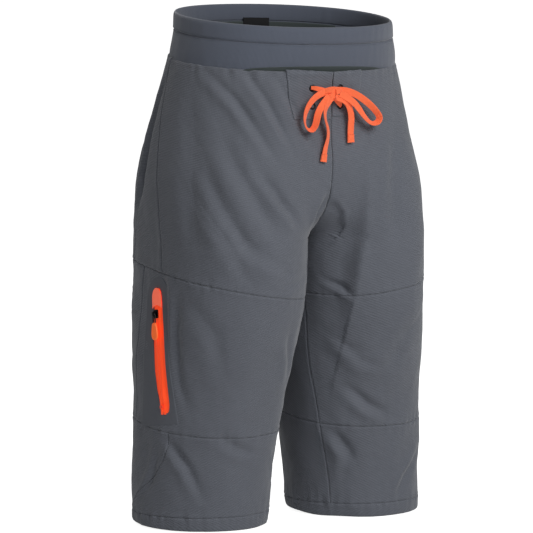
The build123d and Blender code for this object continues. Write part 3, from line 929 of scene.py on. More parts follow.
@dataclass
class ShellSide:
    """One leg and half of the seat: panels between seams, cut from one draped form."""

    side: Side
    inseam_y: float
    spacing: float = 2.6
    cloth: float = 0.9
    turned_edge: float = 0.9
    form: Form = field(init=False)
    drape: Drape = field(init=False)

    def __post_init__(self) -> None:
        """Find where the seams run on the form."""
        self.form = Form(LEG_GIRTHS, self.side)
        self.drape = Drape(folds=FOLDS, puckers=PUCKERS)
        form = self.form
        y = self.inseam_y
        self.side_seam = SeamPlane.through((190, -8, 400), (160, 21, 606), (4, y, 300))
        self.thigh_seam = SeamPlane.through((200, 41, 200), (200, 41, 300), (15, y, 230))
        inseam = form.crossing(lambda p: p[..., 1] - y, 0.4, 0.7)
        front_cut = form.crossing(lambda p: p[..., 0] - 0.2, 0.8, 0.5)
        back_cut = form.crossing(lambda p: p[..., 0] - 0.2, 0.2, 0.5)
        above = form.heights > CROTCH_HEIGHT
        self.front_edge = self.filled(np.where(above, front_cut, inseam))
        self.back_edge = self.filled(np.where(above, back_cut, inseam))
        self.outer_edges = {
            name: self.filled(form.crossing(lambda p, s=seam: self.plane(p, s), -0.2, 0.2))
            for name, seam in (
                ("seat", self.side_seam), ("thigh", self.thigh_seam), ("wedge", WEDGE_SEAM),
            )
        }
        self.outer_edges["cuff"] = self.filled(form.crossing(
            lambda p: p[..., 1] - np.interp(p[..., 2], CUFF_HEIGHTS, CUFF_DEPTHS), -0.25, 0.25))

    @staticmethod
    def plane(points: np.ndarray, seam: SeamPlane) -> np.ndarray:
        """Signed distances of unmirrored points from a seam."""
        return seam.distance(points, Side.LEFT)

    def filled(self, turns: np.ndarray) -> np.ndarray:
        """Turns with the gaps between found ones bridged."""
        known = ~np.isnan(turns)
        return np.interp(self.form.heights, self.form.heights[known], turns[known])

    def read(self, edge: np.ndarray, height: np.ndarray) -> np.ndarray:
        """An edge's turn at each height."""
        return np.interp(height, self.form.heights, edge)

    @staticmethod
    def graded(span: float, spacing: float) -> np.ndarray:
        """Shares from 0 to 1 across a span, closer together beside both edges."""
        edge = np.array([0, 0.5, 1.2, 2.2, 3.6]) / span
        count = max(4, round(span / spacing))
        middle = np.linspace(edge[-1], 1 - edge[-1], count)
        return np.concatenate([edge[:-1], middle, 1 - edge[-2::-1]])

    def panel(
        self, name: str, first: np.ndarray, last: np.ndarray, foot: SeamPlane, top: SeamPlane,
        shift: tuple[float, float] = (0, 0), raised: float = 0.0,
    ) -> bpy.types.Object:
        """One panel between two upright seams and two level ones.

        Args:
            name: The CAD node it stands for.
            first: Turns of its first upright edge, by height.
            last: Turns of its last upright edge.
            foot: Its lower seam.
            top: Its upper seam.
            shift: Whole turns added to the two edges.
            raised: How far the panel stands over the drape.

        Returns:
            The panel.
        """
        middle = 0.5 * (foot.origin[2] + top.origin[2])
        girth = np.interp(middle, self.form.heights, self.form.length)
        start, end = (float(self.read(edge, np.array([middle]))[0]) for edge in (first, last))
        width = girth * abs(end + shift[1] - start - shift[0])
        s = self.graded(max(width, 30), self.spacing)
        t = self.graded(abs(top.origin[2] - foot.origin[2]), self.spacing)
        across, up = np.meshgrid(s, t, indexing="ij")
        height = foot.origin[2] + up * (top.origin[2] - foot.origin[2])
        for _ in range(10):
            start = self.read(first, height) + shift[0]
            end = self.read(last, height) + shift[1]
            turn = start + across * (end - start)
            low, high = self.form.height_on(foot, turn), self.form.height_on(top, turn)
            height = low + up * (high - low)
        turn, height = turn.ravel(), height.ravel()
        edge_across = np.minimum(across, 1 - across).ravel() * max(width, 30)
        edge_up = np.minimum(up, 1 - up).ravel() * abs(top.origin[2] - foot.origin[2])
        edge = np.minimum(edge_across, edge_up)
        tuck = -self.turned_edge * np.clip(1 - edge / 1.3, 0, 1) ** 2
        tuck += 0.35 * np.exp(-(((edge - 3.2) / 1.8) ** 2))
        points, around = self.draped(turn, height, raised + tuck)
        faces = grid_quads(len(s), len(t))
        if self.side is Side.RIGHT:
            faces = faces[:, ::-1]
        uv = np.stack([around, height], axis=1) * MM
        piece = make_piece(name, points, faces, "shell_cloth", uv)
        return piece

    def draped(
        self, turn: np.ndarray, height: np.ndarray, raised: float | np.ndarray = 0.0,
    ) -> tuple[np.ndarray, np.ndarray]:
        """Points of the draped cloth.

        Args:
            turn: Turns around the form.
            height: Heights in millimetres.
            raised: How far the points stand over the cloth.

        Returns:
            The points, and their distance around the garment.
        """
        smooth = self.form.at(turn, height)
        normals = self.form.mirrored_normal(turn, height)
        around = turn * LEG_ROUND
        lift = self.drape.height(smooth, normals, self.side) + raised
        lift += self.waist_gape(smooth)
        near_middle = smooth_step(np.abs(smooth[:, 0]), 0.0, 7.0)
        inner = np.abs(normals[:, 0]) > 0.6
        lift = np.where(inner & (smooth[:, 2] > 250), np.minimum(lift, lift * near_middle), lift)
        points = smooth + normals * lift[:, None]
        held = (1 - smooth_step(np.abs(smooth[:, 0]), 0.4, 9.0)) * (smooth[:, 2] > CROTCH_HEIGHT - 1)
        points[:, 0] += held * (smooth[:, 0] - points[:, 0])
        points[:, 0] = self.side.value * np.maximum(self.side.value * points[:, 0], 0.15)
        return points, around

    def sunk(
        self, turn: np.ndarray, height: np.ndarray, inset: np.ndarray | float, room: float = 3.6
    ) -> np.ndarray:
        """How much deeper a piece inside lies where the cloth dips towards it.

        Args:
            turn: Turns around the form.
            height: Heights in millimetres.
            inset: How far inside the form the piece would lie.
            room: The least depth under the cloth's outer face.

        Returns:
            Depths to add to the inset.
        """
        smooth, out = self.form.at(turn, height), self.form.mirrored_normal(turn, height)
        return np.clip(room - inset - self.drape.height(smooth, out, self.side), 0, None)

    @staticmethod
    def waist_gape(points: np.ndarray) -> np.ndarray:
        """The shell's top edge stands away from the knit band at the front."""
        from_top = SHELL_TOP + RISE_TILT * points[:, 1] - points[:, 2]
        near_top = np.exp(-np.clip(from_top, 0, None) / 16.0)
        front = np.exp(-(((points[:, 0] + 5) / 62.0) ** 2)) * (points[:, 1] < 0)
        beside = smooth_step(np.abs(points[:, 0]), 60, 125)
        return 3.0 * near_top * front - 2.3 * near_top * beside

    def build(self) -> list[bpy.types.Object]:
        """Make the side's panels.

        Returns:
            The panels.
        """
        seat, wedge = self.outer_edges["seat"], self.outer_edges["wedge"]
        thigh, cuff = self.outer_edges["thigh"], self.outer_edges["cuff"]
        hem = HEM_SEAM
        front, back = self.front_edge, self.back_edge
        word = self.side.word
        panels = [
            self.panel(f"seat_front_{word}", front, seat, YOKE_SEAM, WAIST_SEAM, (0, 1)),
            self.panel(f"side_wedge_{word}", seat, wedge, YOKE_SEAM, WAIST_SEAM),
            self.panel(f"seat_back_{word}", wedge, back, YOKE_SEAM, WAIST_SEAM),
            self.panel(f"thigh_front_{word}", front, thigh, KNEE_SEAM, YOKE_SEAM, (0, 1)),
            self.panel(f"thigh_back_{word}", thigh, back, KNEE_SEAM, YOKE_SEAM),
            self.panel(f"cuff_front_{word}", front, cuff, hem, KNEE_SEAM, (0, 1)),
            self.panel(f"cuff_back_{word}", cuff, back, hem, KNEE_SEAM),
        ]
        return panels

    def hem(self) -> bpy.types.Object:
        """The folded hem band, a closed ring of doubled cloth.

        Returns:
            The ring.
        """
        turns = np.linspace(0, 1, 300, endpoint=False)
        profile = [
            (HEM_DEPTH + 1.6, 1.5), (HEM_DEPTH + 0.3, 1.2), (HEM_DEPTH - 0.6, 0.2), (HEM_DEPTH - 2, -0.4),
            (HEM_DEPTH - 4, -0.5), (11, -0.35), (7, -0.4), (2.4, -0.3), (0.6, 0.1), (0.0, 0.9), (0.6, 1.7),
            (2.4, 2.0), (9, 2.1), (HEM_DEPTH + 1.6, 2.3)]
        rise, inset = (np.array(column) for column in zip(*profile))
        turn = np.repeat(turns[:, None], len(profile), axis=1)
        height = np.repeat(rise[None, :], len(turns), axis=0)
        smooth = self.form.at(turn.ravel(), height.ravel())
        normals = self.form.mirrored_normal(turn.ravel(), height.ravel())
        around = turn.ravel() * LEG_ROUND
        lift = self.drape.height(smooth, normals, self.side)
        points = smooth + normals * (lift - np.tile(inset, len(turns)))[:, None]
        back_share = smooth_step(points[:, 1], -60, 100)
        wave = 0.5 + 0.5 * np.sin(around / 21.0 + 2.0 * np.sin(around / 57.0))
        low = 1 - np.clip(points[:, 2] / HEM_DEPTH, 0, 1)
        points[:, 2] += low * (5.5 * back_share + 0.9 * wave)
        faces = grid_quads(len(turns), len(profile), True, True)
        if self.side is Side.LEFT:
            faces = faces[:, ::-1]
        uv = np.stack([around, np.tile(np.cumsum(np.abs(np.gradient(rise))), len(turns))], axis=1) * MM
        return make_piece(f"hem_{self.side.word}", points, faces, "shell_cloth", uv)


# ---------------------------------------------------------------------------------------------
# Sewing
# ---------------------------------------------------------------------------------------------


def scatter(
    tree: bpy.types.NodeTree, ball: bpy.types.Node, size: bpy.types.Node, points: bpy.types.NodeSocket,
    turn: bpy.types.NodeSocket, finish: bpy.types.NodeSocket,
) -> None:
    """Link the end of a tree: a sized ball on every point, made real and dressed.

    Args:
        tree: The tree.
        ball: The node that makes the ball.
        size: The node that gives the ball's three sizes.
        points: Where the balls go.
        turn: How each one is turned.
        finish: The material.
    """
    shaped, placed, real, dressed, result = (tree.nodes.new(kind) for kind in (
        "GeometryNodeTransform", "GeometryNodeInstanceOnPoints", "GeometryNodeRealizeInstances",
        "GeometryNodeSetMaterial", "NodeGroupOutput"))
    for source, target in (
        (ball.outputs[0], shaped.inputs["Geometry"]),
        (size.outputs[0], shaped.inputs["Scale"]),
        (points, placed.inputs["Points"]),
        (shaped.outputs[0], placed.inputs["Instance"]),
        (turn, placed.inputs["Rotation"]),
        (placed.outputs[0], real.inputs[0]),
        (real.outputs[0], dressed.inputs["Geometry"]),
        (finish, dressed.inputs["Material"]),
        (dressed.outputs[0], result.inputs[0]),
    ):
        tree.links.new(source, target)


def grown(
    places: bpy.types.Mesh, tree: bpy.types.NodeTree, values: dict[str, object], name: str
) -> bpy.types.Object:
    """Run a tree on a mesh of lines or points and keep what it makes as a plain mesh.

    Args:
        places: The lines or points.
        tree: The tree.
        values: The tree's inputs, by name.
        name: The new object's name.

    Returns:
        The plain object.
    """
    carrier = bpy.data.objects.new(name + "_places", places)
    bpy.context.scene.collection.objects.link(carrier)
    modifier = carrier.modifiers.new("Growth", "NODES")
    modifier.node_group = tree
    for item in tree.interface.items_tree:
        if item.in_out == "INPUT" and item.name in values:
            modifier[item.identifier] = values[item.name]
    ready = carrier.evaluated_get(bpy.context.evaluated_depsgraph_get())
    mesh = bpy.data.meshes.new_from_object(ready)
    bpy.data.objects.remove(carrier, do_unlink=True)
    mesh.name = name
    mesh.shade_smooth()
    piece = bpy.data.objects.new(name, mesh)
    bpy.context.scene.collection.objects.link(piece)
    LOG.info("%s: %d faces", name, len(mesh.polygons))
    return piece


@dataclass
class Sewing:
    """Rows of stitches, laid along lines by one Geometry Nodes tree."""

    stitch: float = 2.1
    pitch: float = 3.0
    thread: float = 0.42
    tree: bpy.types.NodeTree | None = None

    def build_tree(self) -> bpy.types.NodeTree:
        """Build the tree that sets one thread on every pitch of a line.

        Returns:
            The tree.
        """
        tree = bpy.data.node_groups.new("stitch_rows", "GeometryNodeTree")
        sockets = tree.interface
        sockets.new_socket("Line", in_out="INPUT", socket_type="NodeSocketGeometry")
        for name in ("Pitch", "Stitch", "Thread"):
            sockets.new_socket(name, in_out="INPUT", socket_type="NodeSocketFloat")
        sockets.new_socket("Finish", in_out="INPUT", socket_type="NodeSocketMaterial")
        sockets.new_socket("Stitches", in_out="OUTPUT", socket_type="NodeSocketGeometry")
        nodes, links = tree.nodes, tree.links
        given = nodes.new("NodeGroupInput")
        curve = nodes.new("GeometryNodeMeshToCurve")
        spaced = nodes.new("GeometryNodeResampleCurve")
        spaced.mode = "LENGTH"
        tangent = nodes.new("GeometryNodeInputTangent")
        turned = nodes.new("FunctionNodeAlignRotationToVector")
        turned.axis = "X"
        ball = nodes.new("GeometryNodeMeshIcoSphere")
        ball.inputs["Subdivisions"].default_value = 1
        ball.inputs["Radius"].default_value = 0.5
        size = nodes.new("ShaderNodeCombineXYZ")
        links.new(given.outputs["Line"], curve.inputs["Mesh"])
        links.new(curve.outputs[0], spaced.inputs["Curve"])
        links.new(given.outputs["Pitch"], spaced.inputs["Length"])
        links.new(tangent.outputs[0], turned.inputs["Vector"])
        links.new(given.outputs["Stitch"], size.inputs[0])
        links.new(given.outputs["Thread"], size.inputs[1])
        links.new(given.outputs["Thread"], size.inputs[2])
        scatter(tree, ball, size, spaced.outputs[0], turned.outputs[0], given.outputs["Finish"])
        return tree

    def rows(
        self, name: str, lines: Sequence[np.ndarray], finish: str, pitch: float | None = None,
    ) -> bpy.types.Object:
        """Sew along lines.

        Args:
            name: The piece's name.
            lines: Lines of points in millimetres, on the cloth.
            finish: The thread's finish.
            pitch: The distance from stitch to stitch, in millimetres.

        Returns:
            One plain mesh of all the stitches.
        """
        if self.tree is None:
            self.tree = self.build_tree()
        vertices = np.concatenate(lines) * MM
        edges, start = [], 0
        for line in lines:
            edges += [(start + i, start + i + 1) for i in range(len(line) - 1)]
            start += len(line)
        mesh = bpy.data.meshes.new(name)
        mesh.from_pydata(vertices.tolist(), edges, [])
        values = {
            "Pitch": (pitch or self.pitch) * MM,
            "Stitch": (pitch or self.pitch) * self.stitch / self.pitch * MM,
            "Thread": self.thread * MM,
            "Finish": WARDROBE.get(finish),
        }
        return grown(mesh, self.tree, values, name)


class ClothProbe:
    """Finds the cloth's surface under a point, by casting rays at the finished panels."""

    REACH = 150.0

    def __init__(self, pieces: Sequence[bpy.types.Object]) -> None:
        """Gather the pieces into one tree."""
        points: list[Vector] = []
        faces: list[tuple[int, ...]] = []
        for piece in pieces:
            start = len(points)
            points += [vertex.co.copy() for vertex in piece.data.vertices]
            faces += [tuple(start + i for i in face.vertices) for face in piece.data.polygons]
        self.tree = BVHTree.FromPolygons(points, faces)

    def hit(self, start: np.ndarray, direction: np.ndarray) -> tuple[np.ndarray, np.ndarray] | None:
        """The first cloth met from a point.

        Args:
            start: Where the ray starts, in millimetres.
            direction: Where it goes.

        Returns:
            The point in millimetres and the normal there, or None.
        """
        place, normal, _, _ = self.tree.ray_cast(Vector(start) * MM, Vector(direction), self.REACH * MM)
        if place is None:
            return None
        return np.array(place) / MM, np.array(normal)

    def lay(self, starts: np.ndarray, direction: np.ndarray) -> tuple[np.ndarray, np.ndarray]:
        """Lay many points on the cloth; a miss takes its neighbour's depth.

        Args:
            starts: Where the rays start.
            direction: Where they all go.

        Returns:
            Points on the cloth and the normals there.
        """
        found, normals = [], []
        last_depth, last_normal = 60.0, -np.asarray(direction, dtype=float)
        for start in starts:
            met = self.hit(start, direction)
            if met is not None:
                last_depth = float(np.linalg.norm(met[0] - start))
                last_normal = met[1] if met[1] @ direction < 0 else -met[1]
            found.append(start + last_depth * np.asarray(direction))
            normals.append(last_normal)
        return np.array(found), np.array(normals)


# ---------------------------------------------------------------------------------------------
# The waistband
# ---------------------------------------------------------------------------------------------


@dataclass
class Waistband:
    """The elastic casing and the knit band under it, with what is sewn inside them and a strip of painted
    shadow at the knit's front foot.
    """

    turns: int = 520
    form: Form = field(default_factory=lambda: Form(WAIST_GIRTHS, Side.LEFT))
    gathers: Ripple = field(default_factory=lambda: Ripple(53, 10, 26, (1, 1, 9)))

    def place(self, turn: np.ndarray, nominal: np.ndarray, inset: np.ndarray) -> np.ndarray:
        """Points on the sloping band.

        Args:
            turn: Turns around the waist.
            nominal: Heights as if the band were level.
            inset: Distances inside the form.

        Returns:
            Points in millimetres.
        """
        height = np.array(nominal, dtype=float)
        for _ in range(6):
            height = nominal + RISE_TILT * self.form.raw(turn, height)[..., 1]
        return self.form.at(turn, height, inset)

    def band(
        self, name: str, slot: str, profile: Sequence[tuple[float, float]],
        span: tuple[float, float] = (0, 1), gather: float = 0.0, count: int | None = None,
        tapered: bool = False,
    ) -> bpy.types.Object:
        """A band of one closed section, going round or part of the way round.

        Args:
            name: The piece's name.
            slot: The record's material slot.
            profile: Heights and insets, up the outside and down the inside.
            span: The first and last turn.
            gather: The depth of its gathers.
            count: How many sections it has.
            tapered: Whether it narrows to nothing at both ends.

        Returns:
            The band.
        """
        closed = span == (0, 1)
        count = count or self.turns
        turns = np.linspace(*span, count, endpoint=not closed)
        rise, inset = (np.array(column, dtype=float) for column in zip(*profile))
        turn = np.repeat(turns[:, None], len(profile), axis=1).ravel()
        nominal = np.tile(rise, count)
        flat = self.place(turn, nominal, np.tile(inset, count))
        ease = np.exp(-(((nominal - np.mean(rise)) / (np.ptp(rise) * 0.7)) ** 2))
        wobble = gather * self.gathers.at(flat) * ease
        if tapered:
            share = (turn - span[0]) / (span[1] - span[0])
            nominal = rise[0] + (nominal - rise[0]) * np.sin(math.pi * np.clip(share, 0.004, 0.996)) ** 0.35
        points = self.place(turn, nominal, np.tile(inset, count) - wobble)
        faces = grid_quads(count, len(profile), closed, True).tolist()
        if not closed:
            last = (count - 1) * len(profile)
            faces.append(list(range(len(profile)))[::-1])
            faces.append([last + k for k in range(len(profile))])
        uv = np.stack([turn * WAIST_ROUND, nominal], axis=1) * MM
        return make_piece(name, points, faces, slot, uv)

    def line(self, nominal: float, inset: float, span: tuple[float, float] = (0, 1)) -> np.ndarray:
        """A line of points around the band for a row of sewing."""
        turn = np.linspace(*span, 700)
        return self.place(turn, np.full(700, float(nominal)), np.full(700, float(inset)))

    def build(self, sewing: Sewing) -> None:
        """Make the whole waistband.

        Args:
            sewing: The sewing for its stitch rows.
        """
        casing = self.band("casing", "knit_band", [
            (645.6, 1.9), (645.9, 1.0), (646.8, 0.1), (648.4, -0.5), (651.5, -0.8), (656, -1.0),
            (660.5, -1.1), (664.2, -0.9), (666.8, 0.0), (668.2, 1.4), (667.6, 2.8), (665.4, 3.5),
            (661, 3.8), (656, 3.9), (651, 3.8), (647.6, 3.3), (646, 2.8)], gather=0.1)
        settle(casing, ["waist_casing"])
        knit = self.band("knit_band", "knit_band", [
            (602, 4.0), (606, 3.6), (610, 3.1), (613, 2.6), (616, 2.1), (618.5, 1.7), (621, 1.4),
            (626, 0.9), (632, 0.5), (638, 0.3), (643, 0.5), (645.2, 1.1), (645.9, 1.9), (645.2, 2.6),
            (640, 2.0), (632, 2.1), (624, 2.7), (619, 3.2), (614, 4.0), (608, 4.8), (602, 5.2)], gather=0.12)
        settle(knit, ["waist_knit_band"])
        # A dark strip of painted shadow across the front at the knit's foot: it stands for the deep shade in
        # the gap under the shell's top edge, and no CAD node stands behind it.
        painted_shadow_strip = self.band("knit_binding", "facing_cloth", [
            (607, 3.0), (610, 2.5), (613, 2.0), (616, 1.5), (617.6, 1.5), (618, 1.9), (617, 2.5), (612, 3.2)],
            span=(0.615, 0.855), count=220, tapered=True)
        settle(painted_shadow_strip)
        elastic = self.band("elastic", "elastic", [
            (647.5, 0.8), (660, 0.4), (666, 0.8), (666, 1.8), (660, 1.8), (647.5, 1.8)], count=260)
        settle(elastic, ["waist_elastic"])
        facing = self.band("back_facing", "facing_cloth", [
            (609, 5.2), (610, 4.9), (643.5, 4.5), (645, 4.7), (645, 5.3), (643, 5.5), (611, 5.6)],
            span=(0.085, 0.415), gather=0.15, count=200)
        settle(facing, ["waist_back_facing"])
        label = self.band("label", "label_satin", [
            (626.5, 5.9), (627.2, 5.7), (649, 5.6), (649.8, 5.8), (649.4, 6.3), (627, 6.4)],
            span=(0.196, 0.242), count=40)
        settle(label, ["size_label"])
        rows = [self.line(647.9, -0.45), self.line(643.6, 0.4), self.line(647.2, 3.7)]
        stitches = sewing.rows("band_stitches", rows, "knit_thread", 2.6)
        settle(stitches)


# ---------------------------------------------------------------------------------------------
# The fly
# ---------------------------------------------------------------------------------------------


@dataclass
class Fly:
    """The laced front opening, laid on the finished shell."""

    probe: ClothProbe
    eyelet_turns: int = 36

    def sheet(
        self, name: str, slot: str, corners: Sequence[tuple[float, float]], rise: float,
        thickness: float, spacing: float = 2.0,
    ) -> bpy.types.Object:
        """A four-sided piece that follows the front of the shell.

        Args:
            name: The piece's name.
            slot: The record's material slot.
            corners: X and Z of its lower left, lower right, upper right and upper left corner, as
                seen from the front.
            rise: How far its outer face stands over the shell.
            thickness: The cloth's thickness.
            spacing: The grid's spacing.

        Returns:
            The piece.
        """
        a, b, c, d = (np.asarray(corner, dtype=float) for corner in corners)
        width, height = np.linalg.norm(b - a), np.linalg.norm(d - a)
        s = ShellSide.graded(width, spacing)
        t = ShellSide.graded(height, spacing)
        across, up = np.meshgrid(s, t, indexing="ij")
        across, up = across.ravel()[:, None], up.ravel()[:, None]
        flat = (a * (1 - across) + b * across) * (1 - up) + (d * (1 - across) + c * across) * up
        starts = np.stack([flat[:, 0], np.full(len(flat), FRONT_START), flat[:, 1]], axis=1)
        points, normals = self.probe.lay(starts, np.array([0.0, 1.0, 0.0]))
        edge = np.minimum(np.minimum(across, 1 - across) * width, np.minimum(up, 1 - up) * height).ravel()
        ruck = Ripple(61, 9, 26).at(points) * smooth_step(edge, 1, 5)
        lift = rise + np.where(rise > 0, 0.3 * ruck, 0) - 0.45 * np.clip(1 - edge / 1.4, 0, 1) ** 2
        lift += np.where(rise > 0, -0.3 * np.exp(-(((edge - 2.4) / 0.7) ** 2)), 0)
        points += normals * lift[:, None]
        piece = make_piece(name, points, grid_quads(len(s), len(t)), slot, flat * MM)
        thicken(piece, thickness)
        return piece

    def outline(self, corners: Sequence[tuple[float, float]], inside: float, rise: float) -> np.ndarray:
        """A line on the shell just inside the edges of a four-sided piece."""
        corner = np.asarray(corners, dtype=float)
        middle = corner.mean(axis=0)
        pulled = corner + unit(middle - corner) * inside * 1.4
        steps = [np.linspace(pulled[k], pulled[(k + 1) % 4], 60) for k in range(4)]
        return self.on_shell(np.concatenate(steps), rise)

    def on_shell(self, flat: np.ndarray, rise: float) -> np.ndarray:
        """Points of a line on the front of the shell, given by X and Z."""
        starts = np.stack([flat[:, 0], np.full(len(flat), FRONT_START), flat[:, 1]], axis=1)
        points, normals = self.probe.lay(starts, np.array([0.0, 1.0, 0.0]))
        return points + normals * rise

    def eyelets(self) -> bpy.types.Object:
        """The four lacquered eyelets, domed rings on the patches."""
        profile = np.array([
            (2.2, -2.2), (2.15, 0.4), (2.3, 0.95), (2.75, 1.35), (3.4, 1.45), (4.1, 1.2), (4.6, 0.7),
            (4.75, 0.1), (4.6, -0.3), (3.2, -0.5)])
        angle = np.linspace(0, 2 * math.pi, self.eyelet_turns, endpoint=False)
        points, faces = [], []
        for x, z in ((-29, 575), (-29, 552), (12, 575), (12, 552)):
            start = np.array([[x, FRONT_START, z]])
            middle, normal = self.probe.lay(start, np.array([0.0, 1.0, 0.0]))
            out = normal[0]
            side = unit(np.cross(np.array([0.0, 0.0, 1.0]), out))
            up = np.cross(out, side)
            first = sum(len(block) for block in points)
            spokes = np.cos(angle)[:, None, None] * side + np.sin(angle)[:, None, None] * up
            ring = middle[0] + spokes * profile[None, :, 0:1] + out * (profile[None, :, 1:2] + 1.25)
            points.append(ring.reshape(-1, 3))
            quads = grid_quads(len(angle), len(profile), True, True)[:, ::-1] + first
            faces.append(quads)
        return make_piece("eyelets", np.concatenate(points), np.concatenate(faces), "eyelet_metal")

    def build(self, sewing: Sewing) -> None:
        """Make the patches, eyelets, facings and tapes.

        Args:
            sewing: The sewing for their stitch rows.
        """
        right = ((-57, 535), (-0.9, 534), (-0.9, 595.2), (-65.5, 599.5))
        left = ((0.9, 538), (40, 539), (48, 597.5), (0.9, 595.2))
        for side, corners in ((Side.RIGHT, right), (Side.LEFT, left)):
            patch = self.sheet(f"eyelet_patch_{side.word}", "patch_cloth", corners, 1.35, 0.8, 1.6)
            settle(patch, [f"eyelet_patch_{side.word}"])
            lower = corners[:2] + tuple((x, z - 4) for x, z in corners[2:])
            facing = self.sheet(f"fly_facing_{side.word}", "shell_cloth", lower, -1.6, 0.7, 3.0)
            settle(facing, [f"fly_facing_{side.word}"])
        under = ((1, 488), (30, 488), (30, 584), (1, 584))
        flap = self.sheet("fly_under_flap", "shell_cloth", under, -6.4, 0.7, 4.0)
        settle(flap, ["fly_under_flap"])
        tape = ((16, 500), (25, 500), (25, 540), (16, 540))
        for name, depth in (("fly_hook_tape", -3.4), ("fly_loop_tape", -4.9)):
            settle(self.sheet(name, "hook_and_loop", tape, depth, 1.1, 2.5), [name])
        settle(self.eyelets(), ["eyelets"])
        rows = [self.outline(right, 2.4, 1.1), self.outline(left, 2.4, 1.1)]
        settle(sewing.rows("patch_stitches", rows, "thread", 2.8))
        hook = np.array([(14, 538), (13.4, 528), (12, 518), (9, 506), (5, 494), (1.4, 488)], dtype=float)
        even = np.linspace(0, 1, 90)
        knots = np.linspace(0, 1, len(hook))
        curve = np.stack([pchip(even, knots, hook[:, 0]), pchip(even, knots, hook[:, 1])], axis=1)
        side_row = np.stack([np.full(80, -2.4), np.linspace(532, 430, 80)], axis=1)
        lines = [self.on_shell(curve, 0.1), self.on_shell(side_row, 0.1)]
        settle(sewing.rows("fly_stitches", lines, "thread", 2.8))


# ---------------------------------------------------------------------------------------------
# The lace
# ---------------------------------------------------------------------------------------------


@dataclass(frozen=True)
class LaceRun:
    """One free stretch of the flat lace."""

    name: str
    route: tuple[tuple[float, float, float], ...]
    rolls: tuple[float, ...]
    length: float
    far_end: str
    node: str


LACE_RUNS = (
    LaceRun(
        "lace_loop_right",
        ((-0.011, -0.133, 0.571), (-0.023, -0.135, 0.569), (-0.037, -0.136, 0.560), (-0.046, -0.136, 0.547),
         (-0.048, -0.135, 0.533), (-0.044, -0.134, 0.523), (-0.036, -0.134, 0.520), (-0.031, -0.136, 0.528),
         (-0.029, -0.137, 0.542), (-0.022, -0.138, 0.555), (-0.011, -0.137, 0.565)),
        (0, 6, 12, 20, 34, 52, 58, 48, 30, 12, 0), 0.1289, "object", "lace_loop_right"),
    LaceRun(
        "lace_loop_left",
        ((0.003, -0.133, 0.572), (0.015, -0.135, 0.572), (0.032, -0.136, 0.566), (0.049, -0.137, 0.555),
         (0.062, -0.136, 0.544), (0.069, -0.135, 0.535), (0.065, -0.134, 0.528), (0.054, -0.135, 0.528),
         (0.042, -0.137, 0.538), (0.031, -0.139, 0.551), (0.019, -0.139, 0.561), (0.005, -0.137, 0.568)),
        (0, -6, -12, -20, -34, -50, -56, -40, -22, -8, 0, 0), 0.1601, "object", "lace_loop_left"),
    LaceRun(
        "lace_tail_left",
        ((0.000, -0.136, 0.563), (0.012, -0.138, 0.560), (0.021, -0.136, 0.550), (0.025, -0.134, 0.537),
         (0.025, -0.132, 0.524), (0.025, -0.132, 0.511)),
        (20, 14, 6, -4, -6, 0), 0.0618, "bare", "lace_tail_left"),
    LaceRun(
        "lace_tail_right",
        ((-0.007, -0.136, 0.563), (-0.015, -0.138, 0.555), (-0.018, -0.137, 0.544), (-0.015, -0.135, 0.532),
         (-0.010, -0.133, 0.521), (-0.010, -0.132, 0.509), (-0.014, -0.132, 0.497), (-0.016, -0.1325, 0.486)),
        (0, 16, 36, 46, 40, 34, 24, 12), 0.0828, "bare", "lace_tail_right"),
)


